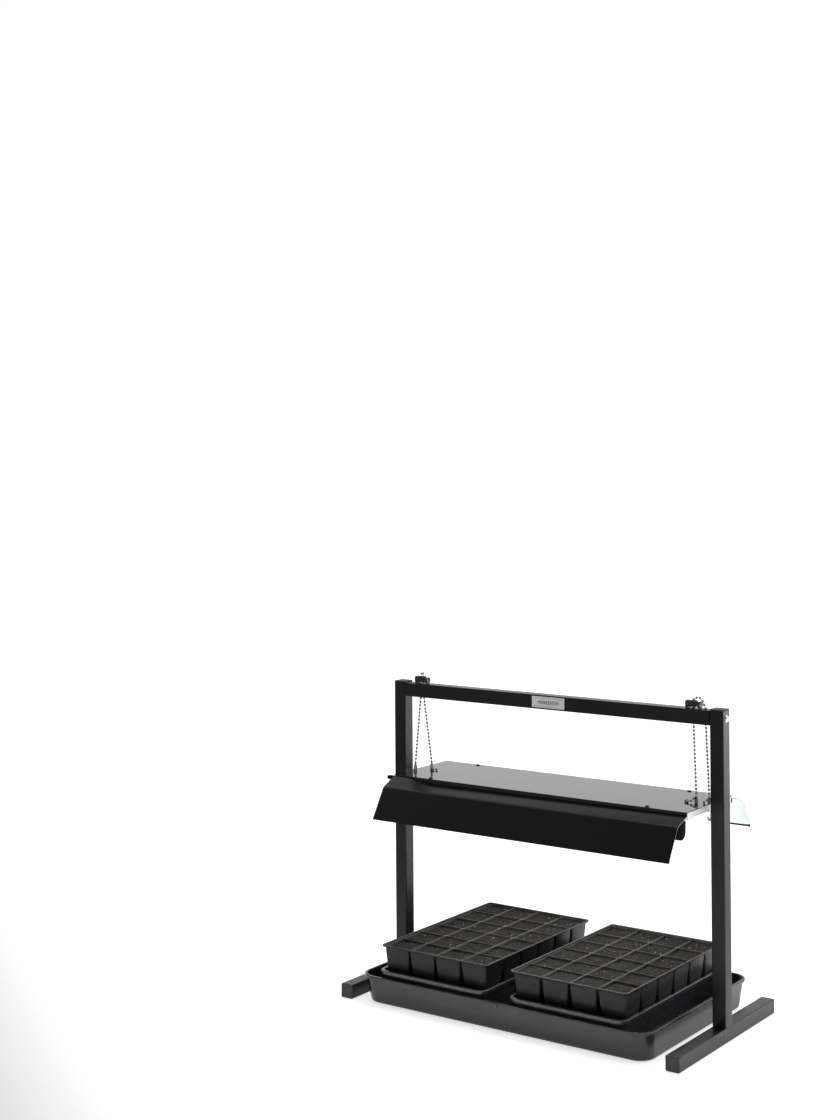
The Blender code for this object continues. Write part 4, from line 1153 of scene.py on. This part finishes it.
def make_inserts():
    """Cell trays: drafted cells hung from a deck, each with a drain hole, and a raised rim."""
    pitch_x, pitch_y = CELL_PITCH[0] / 2, CELL_PITCH[1] / 2
    walls = [(z, 0, 4.0 - (DECK - z) * 0.02, z) for z in (92, 76, 60, 49.5)]
    for side, x in TRAY_X.items():
        bm = bmesh.new()
        for centre in cell_centres(x):
            tops = [corner_ring(centre, pitch_x, pitch_y, 0.0, DECK, 5)]
            for level, inset, radius, z in (
                    (DECK, -0.2, 4.2, DECK + 0.1), (DECK, 0.3, 4.0, DECK - 0.7), *walls,
                    (UNDER, 0.9, 3.4, UNDER + 1.2), (UNDER, 3.0, 3, UNDER + 0.8)):
                tops.append(corner_ring(centre, *cell_half(level, inset), radius, z, 5))
            tops.append(corner_ring(centre, 4.5, 4.5, 4.5, UNDER + 0.8, 5))
            skin(bm, tops, caps=False)
        field_x, field_y = CELLS[0] * pitch_x, CELLS[1] * pitch_y
        skin(bm, [corner_ring((x, INSERT_Y), *ring, 10) for ring in (
            (field_x, field_y, 0.0, DECK), (field_x + 0.8, field_y + 1.2, 4, RIM_TOP - 0.9),
            (field_x + 1.3, field_y + 1.8, 5, RIM_TOP - 0.25), (114.2, 178.2, 7, RIM_TOP),
            (114.9, 178.9, 7.7, RIM_TOP - 0.5), (115.0, 179.0, 8, RIM_TOP - 3.2))], caps=False)
        bmesh.ops.remove_doubles(bm, verts=bm.verts, dist=0.04)
        bmesh.ops.recalc_face_normals(bm, faces=bm.faces)
        top = max(bm.faces, key=lambda f: f.calc_center_median().z)
        if top.normal.z < 0:
            bmesh.ops.reverse_faces(bm, faces=bm.faces[:])
        tray = finish_piece(f"insert_shell_{side}", to_mesh("insert", bm), ("insert_plastic",),
                            f"{side}_insert", (f"cell_insert_{side}",), 34)
        thicken(tray, 0.8)
        make_soil(side, x)


def soil_surface(bm, centre, index, level, grid):
    """The lumpy top of one cell's mix, sunk towards its edge, and a skirt down its sides."""
    half = cell_half(level, 0.9)
    rows = []
    for i in range(grid + 1):
        row = []
        for j in range(grid + 1):
            u, v = 2 * i / grid - 1, 2 * j / grid - 1
            pull = math.sqrt(1 - 0.10 * v * v * u * u)
            at = Vector((centre[0] + half[0] * u * pull, centre[1] + half[1] * v * pull, index * 700))
            lumps = sum(noise.noise(at * fine) * tall for fine, tall in ((0.09, 1.6), (0.26, 1.1), (0.7, 0.55)))
            row.append(bm.verts.new((at.x, at.y, level + lumps - 1.6 * max(abs(u), abs(v)) ** 6)))
        rows.append(row)
    for i in range(grid):
        for j in range(grid):
            bm.faces.new((rows[i][j], rows[i + 1][j], rows[i + 1][j + 1], rows[i][j + 1]))
    border = [rows[i][0] for i in range(grid + 1)] + [rows[grid][j] for j in range(1, grid + 1)]
    border += [rows[i][grid] for i in range(grid - 1, -1, -1)] + [rows[0][j] for j in range(grid - 1, 0, -1)]
    skirt = [bm.verts.new((v.co.x, v.co.y, level - 7)) for v in border]
    for i in range(len(border)):
        j = (i + 1) % len(border)
        bm.faces.new((border[i], skirt[i], skirt[j], border[j]))
    return rows


def make_soil(side, x):
    """Potting mix in every cell, and pale specks of perlite on it."""
    rng = random.Random(7 if side == "left" else 19)
    grid = 26
    bm = bmesh.new()
    specks = bmesh.new()
    for index, centre in enumerate(cell_centres(x)):
        rows = soil_surface(bm, centre, index, 99.0 + rng.uniform(-1.1, 0.7), grid)
        for _ in range(rng.randint(2, 7)):
            i, j = rng.randint(2, grid - 2), rng.randint(2, grid - 2)
            spot = rows[i][j].co + Vector((rng.uniform(-1, 1), rng.uniform(-1, 1), 0.25))
            size = rng.uniform(0.35, 0.95)
            turn = Matrix.Rotation(rng.uniform(0, 6), 4, "Z") @ Matrix.Rotation(rng.uniform(0, 3), 4, "X")
            flat = Matrix.Diagonal((1, rng.uniform(0.6, 1), rng.uniform(0.5, 0.9), 1))
            made = bmesh.ops.create_icosphere(specks, subdivisions=1, radius=size,
                                              matrix=Matrix.Translation(spot) @ turn @ flat)
            for vert in made["verts"]:
                vert.co += Vector([rng.uniform(-1, 1) for _ in range(3)]) * size * 0.16
    piece(f"potting_mix_{side}", bm, ("potting_mix",), f"{side}_insert", (), 80)
    piece(f"perlite_{side}", specks, ("perlite",), f"{side}_insert", (), 60)


def make_mats():
    """Capillary mats: needled felt with a fuzzy, slightly wavy face and a tail into the water."""
    flat, columns = 41, 26
    front, back, top = INSERT_Y - 159, INSERT_Y + 160, 45.2
    line = [Vector((front + (back - front) * i / (flat - 1), top)) for i in range(flat)]
    line += [Vector((back + out, top - down)) for out, down in ((0.8, 0.3), (1.6, 1.2), (1.9, 2.4))]
    line += [Vector((back + 1.9, top - 4 - 8 * i)) for i in range(4)]
    line.append(Vector((back + 1.9, 8.4)))
    for side, x in TRAY_X.items():
        bm = bmesh.new()
        rows = []
        for k in range(columns + 1):
            px = x - 93 + 186 * k / columns
            row = []
            for i, p in enumerate(line):
                wave = noise.noise(Vector((px, p.x, p.y)) * 0.06) * 0.12
                row.append(bm.verts.new((px, p.x, p.y + (wave - 0.12 if i < flat else 0))))
            rows.append(row)
        for a, b in zip(rows, rows[1:]):
            for i in range(len(line) - 1):
                bm.faces.new((a[i], b[i], b[i + 1], a[i + 1]))
        mesh = to_mesh("mat", bm)
        sheet = finish_piece(f"felt_mat_{side}", mesh, ("mat_felt",), f"{side}_platform",
                             (f"capillary_mat_{side}",), 60)
        thicken(sheet, 1.8, mesh.polygons[0].normal.z > 0)


# ---- assembly -----------------------------------------------------------------------------
make_camera()
make_paints()
make_metals()
make_plastics()
make_felt()
make_lamp_glass()
make_potting_mix()
SMOOTH = smooth_group()
make_studio()

for side, _ in SIDES:
    dress("frame_paint", f"foot_{side}", f"upright_{side}", bevel=0.3)
    dress("black_plastic", f"foot_cap_{side}_front", f"foot_cap_{side}_back", f"upright_cap_{side}",
          bevel=0.4)
    dress("black_plastic", f"bar_plug_{side}")
    dress("spring_steel", f"lock_spring_{side}")
    dress("chain_steel", f"chain_eye_{side}_inner", f"chain_eye_{side}_outer", bevel=0.25)
    dress("reservoir_plastic", f"peg_platform_{side}", bevel=0.5)
dress("frame_paint", "crossbar", bevel=0.3)
dress("cover_gloss", "light_cover", bevel=0.3)
dress("housing_white", "ballast_cover", bevel=0.3)
dress("ballast_case", "ballast", bevel=0.6)

for side, _ in SIDES:
    make_chain(side)
make_chain_ends()
for side, x in LOCK_X.items():
    make_lock_body(side, x)
    make_lock_button(side, x)
make_bolts()
make_screws()
make_name_plate()
make_wings()
make_housing()
make_lampholders()
make_lamps()
make_power_inlet()
make_drip_tray()
make_reservoirs()
make_inserts()
make_mats()
